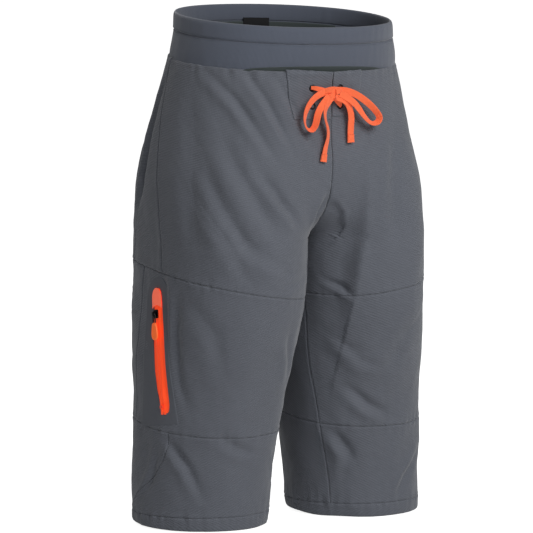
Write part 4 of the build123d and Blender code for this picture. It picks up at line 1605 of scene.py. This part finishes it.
@dataclass
class Lace:
    """The flat lace, its knot and its folded ends."""

    width: float = 9.0
    thickness: float = 1.1
    steps_per_metre: int = 1100

    def centreline(self, name: str, route: Sequence[Sequence[float]]) -> np.ndarray:
        """A smooth line that follows a route.

        Args:
            name: The route's name.
            route: Its points, in metres.

        Returns:
            Points along the line, in metres, evenly spaced.
        """
        curve = bpy.data.curves.new(name + "_route", "CURVE")
        curve.dimensions = "3D"
        spline = curve.splines.new("NURBS")
        spline.points.add(len(route) - 1)
        for point, place in zip(spline.points, route):
            point.co = (*place, 1.0)
        spline.order_u = 3
        spline.use_endpoint_u = True
        spline.resolution_u = 12
        carrier = bpy.data.objects.new(name + "_route", curve)
        bpy.context.scene.collection.objects.link(carrier)
        ready = carrier.evaluated_get(bpy.context.evaluated_depsgraph_get())
        mesh = bpy.data.meshes.new_from_object(ready)
        line = np.array([vertex.co for vertex in mesh.vertices])
        bpy.data.objects.remove(carrier, do_unlink=True)
        bpy.data.meshes.remove(mesh)
        walked = np.concatenate([[0], np.cumsum(np.linalg.norm(np.diff(line, axis=0), axis=1))])
        count = max(12, int(walked[-1] * self.steps_per_metre))
        even = np.linspace(0, walked[-1], count)
        return np.stack([np.interp(even, walked, line[:, axis]) for axis in range(3)], axis=1)

    def tape(
        self, name: str, line: np.ndarray, rolls: Sequence[float], widths: Sequence[float] | None = None,
        thickness: float | None = None, facing: Sequence[float] = (0, -1, 0),
    ) -> bpy.types.Object:
        """Sweep the flat tape along a line.

        Args:
            name: The piece's name.
            line: Points in millimetres.
            rolls: Turns of the tape about the line, in degrees, evenly spread along it.
            widths: Widths evenly spread along it, where they vary.
            thickness: The tape's thickness.
            facing: Where its flat side faces before it is turned.

        Returns:
            The tape.
        """
        tangent = unit(np.gradient(line, axis=0))
        share = np.linspace(0, 1, len(line))
        roll = np.radians(pchip(share, np.linspace(0, 1, len(rolls)), np.asarray(rolls, dtype=float)))
        widths = widths or (self.width, self.width)
        half = np.interp(share, np.linspace(0, 1, len(widths)), widths) / 2
        front = np.asarray(facing, dtype=float)
        normal = unit(front - (tangent @ front)[:, None] * tangent)
        across = np.cross(tangent, normal)
        turned = across * np.cos(roll)[:, None] + normal * np.sin(roll)[:, None]
        face = normal * np.cos(roll)[:, None] - across * np.sin(roll)[:, None]
        deep = (thickness or self.thickness) / 2
        upper = [(1.0, 0.0), (0.985, 0.75), (0.9, 1.12), (0.72, 0.92), (0.36, 0.86), (0.0, 0.84),
                 (-0.36, 0.86), (-0.72, 0.92), (-0.9, 1.12), (-0.985, 0.75)]
        section = upper + [(-reach, -depth) for reach, depth in upper]
        cup = 0.35 * np.sin(share * 9.0 + len(name))
        rings = []
        for reach, depth in section:
            bow = cup * (reach * reach - 0.4)
            rings.append(line + turned * (half * reach)[:, None] + face * (deep * depth + bow)[:, None])
        points = np.stack(rings, axis=1)
        count = len(section)
        faces = grid_quads(len(line), count, False, True)[:, ::-1].tolist()
        faces.append(list(range(count)))
        faces.append([(len(line) - 1) * count + k for k in range(count)][::-1])
        walked = np.concatenate([[0], np.cumsum(np.linalg.norm(np.diff(line, axis=0), axis=1))])
        reach = np.array([reach for reach, _ in section])
        uv = np.stack([np.outer(half, reach).ravel(), np.repeat(walked, count)], axis=1) * MM
        return make_piece(name, points.reshape(-1, 3), faces, "lace_tape", uv)

    def run(self, run: LaceRun, end: bpy.types.Object | None) -> None:
        """Args:
            run: The stretch.
            end: The folded end on it, if it has one; not used.
        """
        line = self.centreline(run.name, run.route)
        piece = self.tape(run.name, line / MM, run.rolls)
        settle(piece, [run.node])

    def build(self) -> None:
        """Make the whole lace."""
        tabs = {
            "lace_tail_left": self.tape(
                "lace_end_left", self.straight((25, -132.2, 514.5), (25.4, -132, 504)),
                (0, 0), (9.4, 10), 2.5),
            "lace_tail_right": self.tape(
                "lace_end_right", self.straight((-15.4, -132.4, 490), (-17, -132, 480)),
                (12, 4), (8.6, 9.6), 2.5),
        }
        for k, tab in enumerate(tabs.values()):
            settle(tab, ["lace_end_tabs"] if k == 0 else [])
        for run in LACE_RUNS:
            self.run(run, tabs.get(run.name))
        crossings = (
            ("lace_crossing_right", ((-31.5, -125.5, 575.5), (-28, -128.6, 575.4), (-22, -131.5, 573.5),
                                     (-14, -133, 570.5), (-6, -134, 569)), (0, 4, 6, 0), (4.5, 6.5, 8.5, 9)),
            ("lace_crossing_left", ((14.5, -125.8, 550.5), (12, -128.6, 552.3), (7.5, -131, 555.5),
                                    (2.5, -133, 560.5), (-1, -134, 566)), (0, -4, 0, 0), (4.5, 6.5, 8, 8.5)),
        )
        for k, (name, route, rolls, widths) in enumerate(crossings):
            line = self.centreline(name, (np.array(route) * MM).tolist())
            piece = self.tape(name, line / MM, rolls, widths)
            settle(piece, ["lace_crossings"] if k == 0 else [])
        for k, (name, route, rolls, widths, facing) in enumerate(self.knot_routes()):
            line = self.centreline(name, (np.array(route) * MM).tolist())
            piece = self.tape(name, line / MM, rolls, widths, 1.3, facing)
            settle(piece, ["lace_knot"] if k == 0 else [])

    @staticmethod
    def knot_routes() -> tuple[tuple[str, tuple, tuple, tuple, tuple], ...]:
        """The turns of the tied knot: names, routes, rolls, widths and facings."""
        wrap = tuple(
            (-3.6 + 1.6 * math.cos(angle), -133.4 - 5.0 * math.cos(angle), 567.4 + 5.4 * math.sin(angle))
            for angle in np.linspace(-0.2, 2 * math.pi - 0.5, 12)
        )
        over = (
            (-17, -133.4, 571), (-11, -136.2, 572.6), (-3, -138.2, 573), (5, -137, 571.5),
            (11, -134.4, 569.5))
        under = ((-13, -134.6, 561), (-8, -137.2, 564), (-2, -137.8, 568.5), (4, -135.8, 573.5))
        return (
            ("knot_wrap", wrap, (0, 0, 0), (7.4, 8.2, 7.4), (-1, 0, 0.15)),
            ("knot_over", over, (0, -10, -6, 4), (7.4, 8.6, 8.6, 7.6), (0, -1, 0)),
            ("knot_under", under, (10, 0, -10), (7.6, 8.4, 7.6), (0, -1, 0)),
        )

    @staticmethod
    def straight(start: Sequence[float], end: Sequence[float]) -> np.ndarray:
        """Evenly spaced points from start to end."""
        return np.linspace(np.asarray(start, dtype=float), np.asarray(end, dtype=float), 14)


# ---------------------------------------------------------------------------------------------
# The zip
# ---------------------------------------------------------------------------------------------


@dataclass
class ThighZip:
    """The coated zip on the right thigh, its bonded surround and its pull."""

    tooth_pitch: float = 1.3

    def surround(self) -> bpy.types.Object:
        """The bonded cloth around the zip, with its window."""
        counts = (40, 18, 44, 58, 30)
        sweep = np.linspace(0, math.pi, 44, endpoint=False)
        arch = [(30 * math.cos(angle), 60 + 38 * math.sin(angle)) for angle in sweep]
        outer = self.chain([[(20, -96), (20, 20)], [(20, 20), (30, 60)], arch + [(-30, 60)],
                            [(-30, 60), (-52, -96)], [(-52, -96), (20, -96)]], counts)
        top = [(9.8, 62), (9.2, 72), (7.6, 78.5), (4.6, 82), (0, 83)]
        top += [(-across, up) for across, up in top[-2::-1]]
        front = [(11.2, -70), (12.2, -40), (12.4, 0), (11.8, 30)]
        back = [(-9.8, 62), (-11.4, 40), (-12.4, 10), (-11.6, -25), (-8.8, -50), (-4.8, -66), (-2.2, -74.5)]
        foot = [(-2.2, -74.5), (0.6, -78.4), (4.2, -80.6), (7.6, -80.2), (10.0, -77.2), (11.2, -70)]
        inner = self.chain([front, [(11.8, 30), (9.8, 62)], top, back, foot], counts)
        shares = np.array([0, 0, 0.012, 0.05, 0.12, 0.22, 0.36, 0.5, 0.64, 0.78, 0.9, 0.96, 0.99, 1.0])
        rises = np.array([-2.6, 0.35, 0.75, 0.85, 0.8, 0.8, 0.8, 0.8, 0.8, 0.8, 0.85, 0.8, 0.55, 0.05])
        rows = []
        for share, rise in zip(shares, rises):
            flat = inner * (1 - share) + outer * share
            rows.append(np.column_stack([flat, np.full(len(flat), rise)]))
        places = np.stack(rows, axis=1).reshape(-1, 3)
        floor = self.level(places)
        points = ZIP_FRAME.world(np.column_stack([places[:, :2], floor + places[:, 2]]))
        faces = grid_quads(len(inner), len(shares), True, False)[:, ::-1]
        return make_piece("zip_surround", points, faces, "bonded_cloth", places[:, :2] * MM)

    def level(self, places: np.ndarray) -> np.ndarray:
        """The smooth leg's height in the zip's frame, under each place."""
        form = self.probe_form
        level = np.zeros(len(places))
        for _ in range(5):
            points = ZIP_FRAME.world(np.column_stack([places[:, :2], level]))
            level = level + form(points)
        return level

    @staticmethod
    def chain(legs: Sequence[Sequence[tuple[float, float]]], counts: Sequence[int]) -> np.ndarray:
        """Points along joined lines, a given count on each, without the repeated corners."""
        result = []
        for leg, count in zip(legs, counts):
            line = np.asarray(leg, dtype=float)
            walked = np.concatenate([[0], np.cumsum(np.linalg.norm(np.diff(line, axis=0), axis=1))])
            even = np.linspace(0, walked[-1], count, endpoint=False)
            result.append(np.stack([np.interp(even, walked, line[:, axis]) for axis in range(2)], axis=1))
        return np.concatenate(result)

    def probe_form(self, points: np.ndarray) -> np.ndarray:
        """How far outside each point the smooth right leg lies, along the zip's outward axis."""
        form = RIGHT_FORM
        mirrored = points * np.array([-1, 1, 1])
        height = np.clip(mirrored[:, 2], form.low, form.high)
        turns = np.linspace(-0.16, 0.16, 161)
        grid_turn, grid_height = np.meshgrid(turns, height, indexing="xy")
        shape = form.raw(grid_turn, grid_height)
        nearest = np.argmin(np.abs(shape[..., 1] - mirrored[:, 1:2]), axis=1)
        rows = np.arange(len(points))
        low = np.clip(nearest - 1, 0, len(turns) - 3)
        y0, y1 = shape[rows, low, 1], shape[rows, low + 2, 1]
        share = (mirrored[:, 1] - y0) / np.where(np.abs(y1 - y0) < 1e-6, 1e-6, y1 - y0)
        x = shape[rows, low, 0] * (1 - share) + shape[rows, low + 2, 0] * share
        return x - mirrored[:, 0]

    def tape(self, name: str, sign: int) -> bpy.types.Object:
        """One half of the tape: coated, smooth, rising to the coil.

        Args:
            name: The piece's name.
            sign: 1 for the front half and -1 for the back half.

        Returns:
            The tape.
        """
        section = np.array([
            (15.6, -1.7), (14.6, -1.35), (13.0, -1.2), (11.0, -1.15), (9.0, -1.1), (7.0, -1.0), (5.6, -0.7),
            (4.8, -0.2), (4.1, 0.25), (3.4, 0.5), (2.6, 0.6), (1.8, 0.6), (1.1, 0.5), (0.6, 0.3), (0.3, -0.1),
            (0.22, -0.6)])
        across, rise = section[:, 0] * sign, section[:, 1]
        up = np.linspace(-ZIP_LENGTH / 2 - 1, ZIP_LENGTH / 2 + 1, 110)
        grid_up, grid_across = np.meshgrid(up, across, indexing="ij")
        grid_rise = np.broadcast_to(rise, grid_up.shape)
        wave = 0.1 * np.sin(grid_up / 5.2 + sign) * np.exp(-((np.abs(grid_across) - 9) / 4) ** 2)
        places = np.stack([grid_across.ravel(), grid_up.ravel(), (grid_rise + wave).ravel()], axis=1)
        aside, along = np.abs(places[:, 0]), np.abs(places[:, 1])
        beyond = np.maximum(smooth_step(aside, 3.4, 8), smooth_step(along, 58, 70))
        places[:, 2] += self.level(places) * beyond
        faces = grid_quads(len(up), len(across))
        if sign > 0:
            faces = faces[:, ::-1]
        piece = make_piece(name, ZIP_FRAME.world(places), faces, "zip_tape_coated", places[:, :2] * MM)
        thicken(piece, 0.6)
        return piece

    def garage(self) -> bpy.types.Object:
        """The domed film over the top of the zip, arched where the slider parks."""
        share = np.sin(np.linspace(-math.pi / 2, math.pi / 2, 27)) * 0.995
        up = np.sin(np.linspace(0, math.pi / 2, 17))
        across, rise = np.meshgrid(share, up, indexing="ij")
        low = 60.5 - 4 * across**2
        high = 70 + 12.8 * np.sqrt(1 - across**2)
        places = np.stack([10.4 * across, low + rise * (high - low), np.zeros(across.shape)], axis=2)
        places = places.reshape(-1, 3)
        crown = ((1 - across**4) * (1 - rise**5)).ravel()
        places[:, 2] = self.level(places) * 0.6 + 0.95 + 1.1 * crown
        faces = grid_quads(len(share), len(up))[:, ::-1]
        points = ZIP_FRAME.world(places)
        piece = make_piece("zip_garage_film", points, faces, "zip_garage_film", places[:, :2] * MM)
        thicken(piece, 0.7)
        return piece

    def coils(self) -> bpy.types.Object:
        """The two rows of coil, laid tooth by tooth by Geometry Nodes."""
        tree = bpy.data.node_groups.new("coil_teeth", "GeometryNodeTree")
        tree.interface.new_socket("Places", in_out="INPUT", socket_type="NodeSocketGeometry")
        tree.interface.new_socket("Reach", in_out="INPUT", socket_type="NodeSocketFloat")
        tree.interface.new_socket("Turn", in_out="INPUT", socket_type="NodeSocketVector")
        tree.interface.new_socket("Finish", in_out="INPUT", socket_type="NodeSocketMaterial")
        tree.interface.new_socket("Teeth", in_out="OUTPUT", socket_type="NodeSocketGeometry")
        nodes, links = tree.nodes, tree.links
        given = nodes.new("NodeGroupInput")
        ball = nodes.new("GeometryNodeMeshUVSphere")
        ball.inputs["Segments"].default_value = 8
        ball.inputs["Rings"].default_value = 6
        ball.inputs["Radius"].default_value = 0.5
        size = nodes.new("ShaderNodeCombineXYZ")
        size.inputs[1].default_value = self.tooth_pitch * 0.94 * MM
        size.inputs[2].default_value = 1.5 * MM
        turned = nodes.new("FunctionNodeEulerToRotation")
        points = nodes.new("GeometryNodeMeshToPoints")
        links.new(given.outputs["Reach"], size.inputs[0])
        links.new(given.outputs["Turn"], turned.inputs[0])
        links.new(given.outputs["Places"], points.inputs[0])
        scatter(tree, ball, size, points.outputs[0], turned.outputs[0], given.outputs["Finish"])
        count = int(COIL_LENGTH / self.tooth_pitch)
        up = (np.arange(count) - (count - 1) / 2) * self.tooth_pitch
        places = [(1.55, v, -0.85) for v in up] + [(-1.55, v + self.tooth_pitch / 2, -0.85) for v in up]
        mesh = bpy.data.meshes.new("zip_coils")
        mesh.from_pydata((ZIP_FRAME.world(np.array(places)) * MM).tolist(), [], [])
        turn = Matrix([list(row) for row in ZIP_FRAME.axes().T]).to_euler()
        values = {"Reach": 3.3 * MM, "Turn": tuple(turn), "Finish": WARDROBE.get("zip_coil")}
        return grown(mesh, tree, values, "zip_coils")

    def tab(self) -> bpy.types.Object:
        """The moulded pull tab: a domed drop with a raised rim."""
        pivot = ZIP_FRAME.world(np.array([[0.0, SLIDER_UP, PIVOT_HEIGHT]]))[0]
        place = FlatFrame(tuple(pivot), ZIP_FRAME.up, ZIP_FRAME.facing)
        half = [(0, -11.2), (2.4, -11.4), (3.6, -12.4), (4.4, -15), (5.3, -19), (6.1, -23), (6.4, -26.5),
                (5.9, -29.8), (4.4, -32.4), (2.3, -33.8), (0, -34.1)]
        knots = np.linspace(0, 1, len(half))
        even = np.linspace(0, 1, 25)
        across = pchip(even, knots, np.array([x for x, _ in half], dtype=float))
        down = pchip(even, knots, np.array([y for _, y in half], dtype=float))
        mirrored = np.stack([-across, down], axis=1)[-2:0:-1]
        outline = np.concatenate([np.stack([across, down], axis=1), mirrored])
        middle = np.array([0.0, -23.5])
        layers = [(0.0, -1.5), (0.55, -1.55), (0.86, -1.5), (0.96, -1.1), (1.0, -0.4), (1.0, 0.5),
                  (0.96, 1.2),
                  (0.88, 1.6), (0.78, 1.6), (0.72, 1.25), (0.66, 1.15), (0.35, 1.35), (0.0, 1.4)]
        rings = [
            np.column_stack([middle + (outline - middle) * max(scale, 0.02), np.full(len(outline), high)])
            for scale, high in layers]
        places = np.stack(rings, axis=1).reshape(-1, 3)
        faces = grid_quads(len(outline), len(layers), True, False)
        return make_piece("pull_tab", place.world(places), faces, "pull_tab_rubber", places[:, :2] * MM)

    def build(self) -> None:
        """Make the zip's soft parts and dress its hard ones."""
        settle(self.surround(), ["zip_surround"])
        settle(self.tape("zip_tape_front", 1), ["zip_tape_front"])
        settle(self.tape("zip_tape_back", -1), ["zip_tape_back"])
        settle(self.coils(), ["zip_coils"])
        settle(self.garage(), ["zip_garage"])
        settle(self.tab(), ["pull_tab"], PULL_BODY)
        for node, slot in (("zip_slider", "slider_black"), ("pull_loop", "pull_cord"),
                           ("zip_bottom_stop", "zip_coil")):
            dress(node, slot)


def dress(node: str, slot: str) -> None:
    """Give a CAD node's own mesh a better material.

    Args:
        node: The node.
        slot: The record's material slot.
    """
    for piece in bpy.data.objects:
        if piece.type == "MESH" and piece.name.split(".")[0] == node:
            for place in piece.material_slots:
                place.material = WARDROBE.get(slot)


# ---------------------------------------------------------------------------------------------
# Inside
# ---------------------------------------------------------------------------------------------


@dataclass
class Inside:
    """The mesh liner, the pocket bag and the pads that one wears the shorts for."""

    sides: Sequence[ShellSide]

    @staticmethod
    def liner_inset(height: np.ndarray) -> np.ndarray:
        """How far inside the shell's form the liner hangs."""
        return np.minimum(17, 5.6 + 0.22 * np.clip(616 - height, 0, None))

    def liner(self, shell: ShellSide) -> bpy.types.Object:
        """One half of the liner.

        Args:
            shell: The side that it hangs in.

        Returns:
            The liner.
        """
        s, t = np.linspace(0, 1, 120), np.linspace(0, 1, 90)
        across, up = np.meshgrid(s, t, indexing="ij")
        top = SeamPlane((0, 0, 606), (0, -RISE_TILT, 1))
        height = 240 + up * 366
        for _ in range(8):
            start, end = shell.read(shell.front_edge, height), shell.read(shell.back_edge, height) + 1
            turn = start + across * (end - start)
            height = 240 + up * (shell.form.height_on(top, turn) - 240)
        turn, height = turn.ravel(), height.ravel()
        inset = self.liner_inset(height)
        points = shell.form.at(turn, height, inset + shell.sunk(turn, height, inset))
        points[:, 0] = shell.side.value * np.maximum(shell.side.value * points[:, 0], 0.4)
        faces = grid_quads(len(s), len(t))
        if shell.side is Side.RIGHT:
            faces = faces[:, ::-1]
        uv = np.stack([turn * LEG_ROUND, height], axis=1) * MM
        piece = make_piece(f"liner_{shell.side.word}", points, faces, "mesh_cloth", uv)
        thicken(piece, 0.8)
        return piece

    def pad(
        self, name: str, shell: ShellSide, turn: float, height: float, radii: tuple[float, float],
        depths: tuple[float, float], half: bool = False,
    ) -> bpy.types.Object:
        """A crowned pad, quilted in rings, lying between the shell and the liner.

        Args:
            name: The pad's name.
            shell: The side that it sits in.
            turn: The turn of its middle.
            height: The height of its middle.
            radii: Its half width and half height.
            depths: The insets of its outer and inner face.
            half: Whether it is the half on this side of the back seam.

        Returns:
            The pad.
        """
        rings, spokes = 16, 72
        girth = np.interp(height, shell.form.heights, shell.form.length)
        share = np.linspace(0, 1, rings)
        start, end = (-math.pi / 2, math.pi / 2) if half else (0, 2 * math.pi)
        angle = np.linspace(start, end, spokes, endpoint=half)
        reach, spin = np.meshgrid(share, angle, indexing="ij")
        aside = np.cos(spin) * reach * radii[0]
        rise = np.sin(spin) * reach * radii[1]
        if half:
            aside = -aside - 0.4
        crown = np.sqrt(np.clip(1 - reach**4, 0, 1))
        quilt = 1 - 0.16 * np.exp(-(((reach - 0.6) / 0.05) ** 2))
        near, far = depths
        middle, thick = (near + far) / 2, (far - near) / 2
        turns, heights = (turn + aside / girth).ravel(), (height + rise).ravel()
        sunk = shell.sunk(turns, heights, near)
        columns = []
        for face in (-1, 1):
            inset = middle + face * thick * (0.12 + 0.88 * crown) * quilt
            points = shell.form.at(turns, heights, inset.ravel() + sunk)
            columns.append(points.reshape(rings, spokes, 3))
        closed = not half
        outer = grid_quads(rings, spokes, False, closed)
        count = rings * spokes
        faces = outer.tolist() + (outer[:, ::-1] + count).tolist()
        rim = (rings - 1) * spokes
        for k in range(spokes if closed else spokes - 1):
            a, b = rim + k, rim + (k + 1) % spokes
            faces.append([a, a + count, b + count, b])
        if half:
            for r in range(rings - 1):
                for k, flip in ((0, False), (spokes - 1, True)):
                    a, b = r * spokes + k, (r + 1) * spokes + k
                    quad = [a, a + count, b + count, b]
                    faces.append(quad if flip else quad[::-1])
        points = np.concatenate([columns[0].reshape(-1, 3), columns[1].reshape(-1, 3)])
        piece = make_piece(name, points, faces, "pad_foam")
        tidy_faces(piece)
        return piece

    def build(self) -> None:
        """Make the liner, pads and pocket bag."""
        for shell in self.sides:
            word = shell.side.word
            settle(self.liner(shell), [f"liner_{word}"])
            hip = self.pad(f"hip_pad_{word}", shell, 0.0, 470, (58, 74), (6, 15))
            settle(hip, [f"hip_pad_{word}"])
            thigh = self.pad(f"thigh_pad_{word}", shell, 0.872, 312, (44, 56), (6, 15))
            settle(thigh, [f"thigh_pad_{word}"])
        tails = [self.pad(f"tailbone_pad_{shell.side.word}", shell, self.back_turn(shell, 492), 492, (46, 54),
                          (6, 15), True) for shell in self.sides]
        for k, tail in enumerate(tails):
            settle(tail, ["tailbone_pad"] if k == 0 else [])
        settle(self.pocket_bag(), ["pocket_bag"])

    @staticmethod
    def back_turn(shell: ShellSide, height: float) -> float:
        """The turn of the back seam at a height."""
        return float(shell.read(shell.back_edge, np.array([height]))[0])

    def pocket_bag(self) -> bpy.types.Object:
        """The flat bag behind the zip."""
        shell = self.sides[0] if self.sides[0].side is Side.RIGHT else self.sides[1]
        up, across = np.linspace(138, 325, 60), np.linspace(-0.102, 0.05, 44)
        grid_turn, grid_up = np.meshgrid(across, up, indexing="ij")
        turn, height = grid_turn.ravel(), grid_up.ravel()
        points = shell.form.at(turn, height, 4.6 + shell.sunk(turn, height, 4.6))
        faces = grid_quads(len(across), len(up))[:, ::-1]
        piece = make_piece("pocket_bag", points, faces, "mesh_cloth")
        thicken(piece, 0.7)
        return piece


def tidy_faces(piece: bpy.types.Object) -> None:
    """Join doubled points and turn every face outwards.

    Args:
        piece: A closed piece.
    """
    form = bmesh.new()
    form.from_mesh(piece.data)
    bmesh.ops.remove_doubles(form, verts=form.verts, dist=0.00002)
    bmesh.ops.recalc_face_normals(form, faces=form.faces)
    form.to_mesh(piece.data)
    form.free()


# ---------------------------------------------------------------------------------------------
# The studio
# ---------------------------------------------------------------------------------------------


@dataclass
class Studio:
    """A pale floor, soft lights and the camera."""

    eye: tuple[float, float, float] = (-2.4376, -3.905, 0.732)
    aim: tuple[float, float, float] = (-0.0175, 0.0069, 0.334)
    lens: float = 234.5
    floor_size: float = 120.0
    sky_light: float = 0.22

    def light(
        self, name: str, place: Sequence[float], size: float, power: float,
        colour: Sequence[float] = (1, 1, 1),
    ) -> bpy.types.Object:
        """Hang one soft square light, aimed at the garment.

        Args:
            name: The light's name.
            place: Where it hangs, in metres.
            size: Its side.
            power: Its power in watts.
            colour: Its colour.

        Returns:
            The light.
        """
        lamp = bpy.data.lights.new(name, "AREA")
        lamp.size = size
        lamp.energy = power
        lamp.color = colour
        hung = bpy.data.objects.new(name, lamp)
        hung.location = place
        toward = Vector(self.aim) - Vector(place)
        hung.rotation_euler = toward.to_track_quat("-Z", "Y").to_euler()
        bpy.context.scene.collection.objects.link(hung)
        return hung

    def build(self) -> None:
        """Make the floor, lights, sky and camera."""
        scene = bpy.context.scene
        world = bpy.data.worlds.new("studio")
        world.use_nodes = True
        nodes, links = world.node_tree.nodes, world.node_tree.links
        sky = nodes["Background"]
        sky.inputs[0].default_value = (1, 1, 1, 1)
        seen = nodes.new("ShaderNodeLightPath").outputs["Is Camera Ray"]
        strength = nodes.new("ShaderNodeMapRange")
        strength.inputs["To Min"].default_value = self.sky_light
        strength.inputs["To Max"].default_value = 1.0
        links.new(seen, strength.inputs["Value"])
        links.new(strength.outputs[0], sky.inputs[1])
        scene.world = world
        scene.view_settings.view_transform = "Standard"
        mesh = bpy.data.meshes.new("floor")
        reach = self.floor_size / 2
        mesh.from_pydata([(-reach, -reach, -0.0006), (reach, -reach, -0.0006), (reach, reach, -0.0006),
                          (-reach, reach, -0.0006)], [], [(0, 1, 2, 3)])
        floor = bpy.data.objects.new("floor", mesh)
        scene.collection.objects.link(floor)
        board = NodeBoard("paper")
        board.shader.inputs["Base Color"].default_value = (0.8, 0.8, 0.8, 1)
        board.shader.inputs["Roughness"].default_value = 0.9
        board.shader.inputs["Emission Color"].default_value = (1, 1, 1, 1)
        # The floor's own light for camera rays keeps it evenly white.
        glow = board.math("MULTIPLY", board.add("ShaderNodeLightPath").outputs["Is Camera Ray"], 0.92)
        board.link(glow, board.shader.inputs["Emission Strength"])
        mesh.materials.append(board.material)
        lights = [
            self.light("key", (0.2, -2.7, 2.15), 1.6, 67),
            self.light("fill", (-3.2, -2.6, 1.0), 2.6, 1.5),
            self.light("rim", (0.4, 3.0, 2.4), 2.4, 22),
        ]
        lens = bpy.data.cameras.new("camera")
        lens.lens = self.lens
        lens.clip_end = 100
        camera = bpy.data.objects.new("camera", lens)
        camera.location = self.eye
        toward = Vector(self.aim) - Vector(self.eye)
        camera.rotation_euler = toward.to_track_quat("-Z", "Y").to_euler()
        scene.collection.objects.link(camera)
        scene.camera = camera


# ---------------------------------------------------------------------------------------------
# The whole garment
# ---------------------------------------------------------------------------------------------

RIGHT_FORM = Form(LEG_GIRTHS, Side.RIGHT)


def shell_rows(shell: ShellSide) -> list[np.ndarray]:
    """Lines for the rows of sewing on one side of the shell.

    Args:
        shell: The side.

    Returns:
        Lines of points in millimetres.
    """
    lines = []
    for seam, offset in ((WAIST_SEAM, -9.5), (KNEE_SEAM, -2.2), (YOKE_SEAM, -2.2), (HEM_SEAM, -1.6)):
        moved = SeamPlane((0, 0, seam.origin[2] + offset), seam.normal)
        low = shell.read(shell.front_edge, np.array([moved.origin[2]]))[0]
        high = shell.read(shell.back_edge, np.array([moved.origin[2]]))[0] + 1
        turn = np.linspace(low + 0.004, high - 0.004, 420)
        height = shell.form.height_on(moved, turn)
        points, _ = shell.draped(turn, height, 0.12)
        lines.append(points)
    return lines


def centre_allowance(sides: Sequence[ShellSide]) -> bpy.types.Object:
    """The seam allowance that stands inwards along the whole centre seam.

    Args:
        sides: Both sides of the shell.

    Returns:
        One closed strip, from the fly under the crotch to the back waist.
    """
    share = np.linspace(0, 1, 150) ** 2
    lines = []
    for top, name in ((570, "front_edge"), (SHELL_TOP + 8, "back_edge")):
        height = CROTCH_HEIGHT + 1 + (top - CROTCH_HEIGHT - 1) * share
        edges = [shell.draped(shell.read(getattr(shell, name), height), height)[0] for shell in sides]
        lines.append(np.mean(edges, axis=0))
    route = np.concatenate([lines[0][::-1], lines[1]])[:, 1:]
    along = unit(np.gradient(route, axis=0))
    inward = np.column_stack([-along[:, 1], along[:, 0]])
    section = ((-0.6, 1.0), (0.6, 1.0), (0.6, 8.0), (-0.6, 8.0))
    rings = [np.column_stack([np.full(len(route), aside), route + inward * deep]) for aside, deep in section]
    points = np.stack(rings, axis=1).reshape(-1, 3)
    faces = grid_quads(len(route), len(section), False, True).tolist()
    last = len(points) - len(section)
    faces += [[3, 2, 1, 0], [last, last + 1, last + 2, last + 3]]
    piece = make_piece("centre_seam_allowance", points, faces, "shell_cloth")
    tidy_faces(piece)
    return piece


def build_garment() -> None:
    """Make every piece of the shorts."""
    sewing = Sewing()
    sides = [ShellSide(Side.RIGHT, -14), ShellSide(Side.LEFT, -48)]
    panels: list[bpy.types.Object] = []
    for shell in sides:
        panels += shell.build()
    probe = ClothProbe(panels)
    Fly(probe).build(sewing)
    ThighZip().build()
    for panel in panels:
        thicken(panel, sides[0].cloth)
        settle(panel, [panel.name.split(".")[0]])
    rows: list[np.ndarray] = []
    for shell in sides:
        settle(shell.hem(), [f"hem_{shell.side.word}"])
        rows += shell_rows(shell)
    settle(sewing.rows("shell_stitches", rows, "thread"))
    settle(centre_allowance(sides))
    Waistband().build(sewing)
    Lace().build()
    Inside(sides).build()


def main() -> None:
    """Build the garment in its studio."""
    logging.basicConfig(level=logging.INFO, format="%(name)s: %(message)s")
    build_garment()
    Studio().build()


if __name__ == "__main__":
    main()
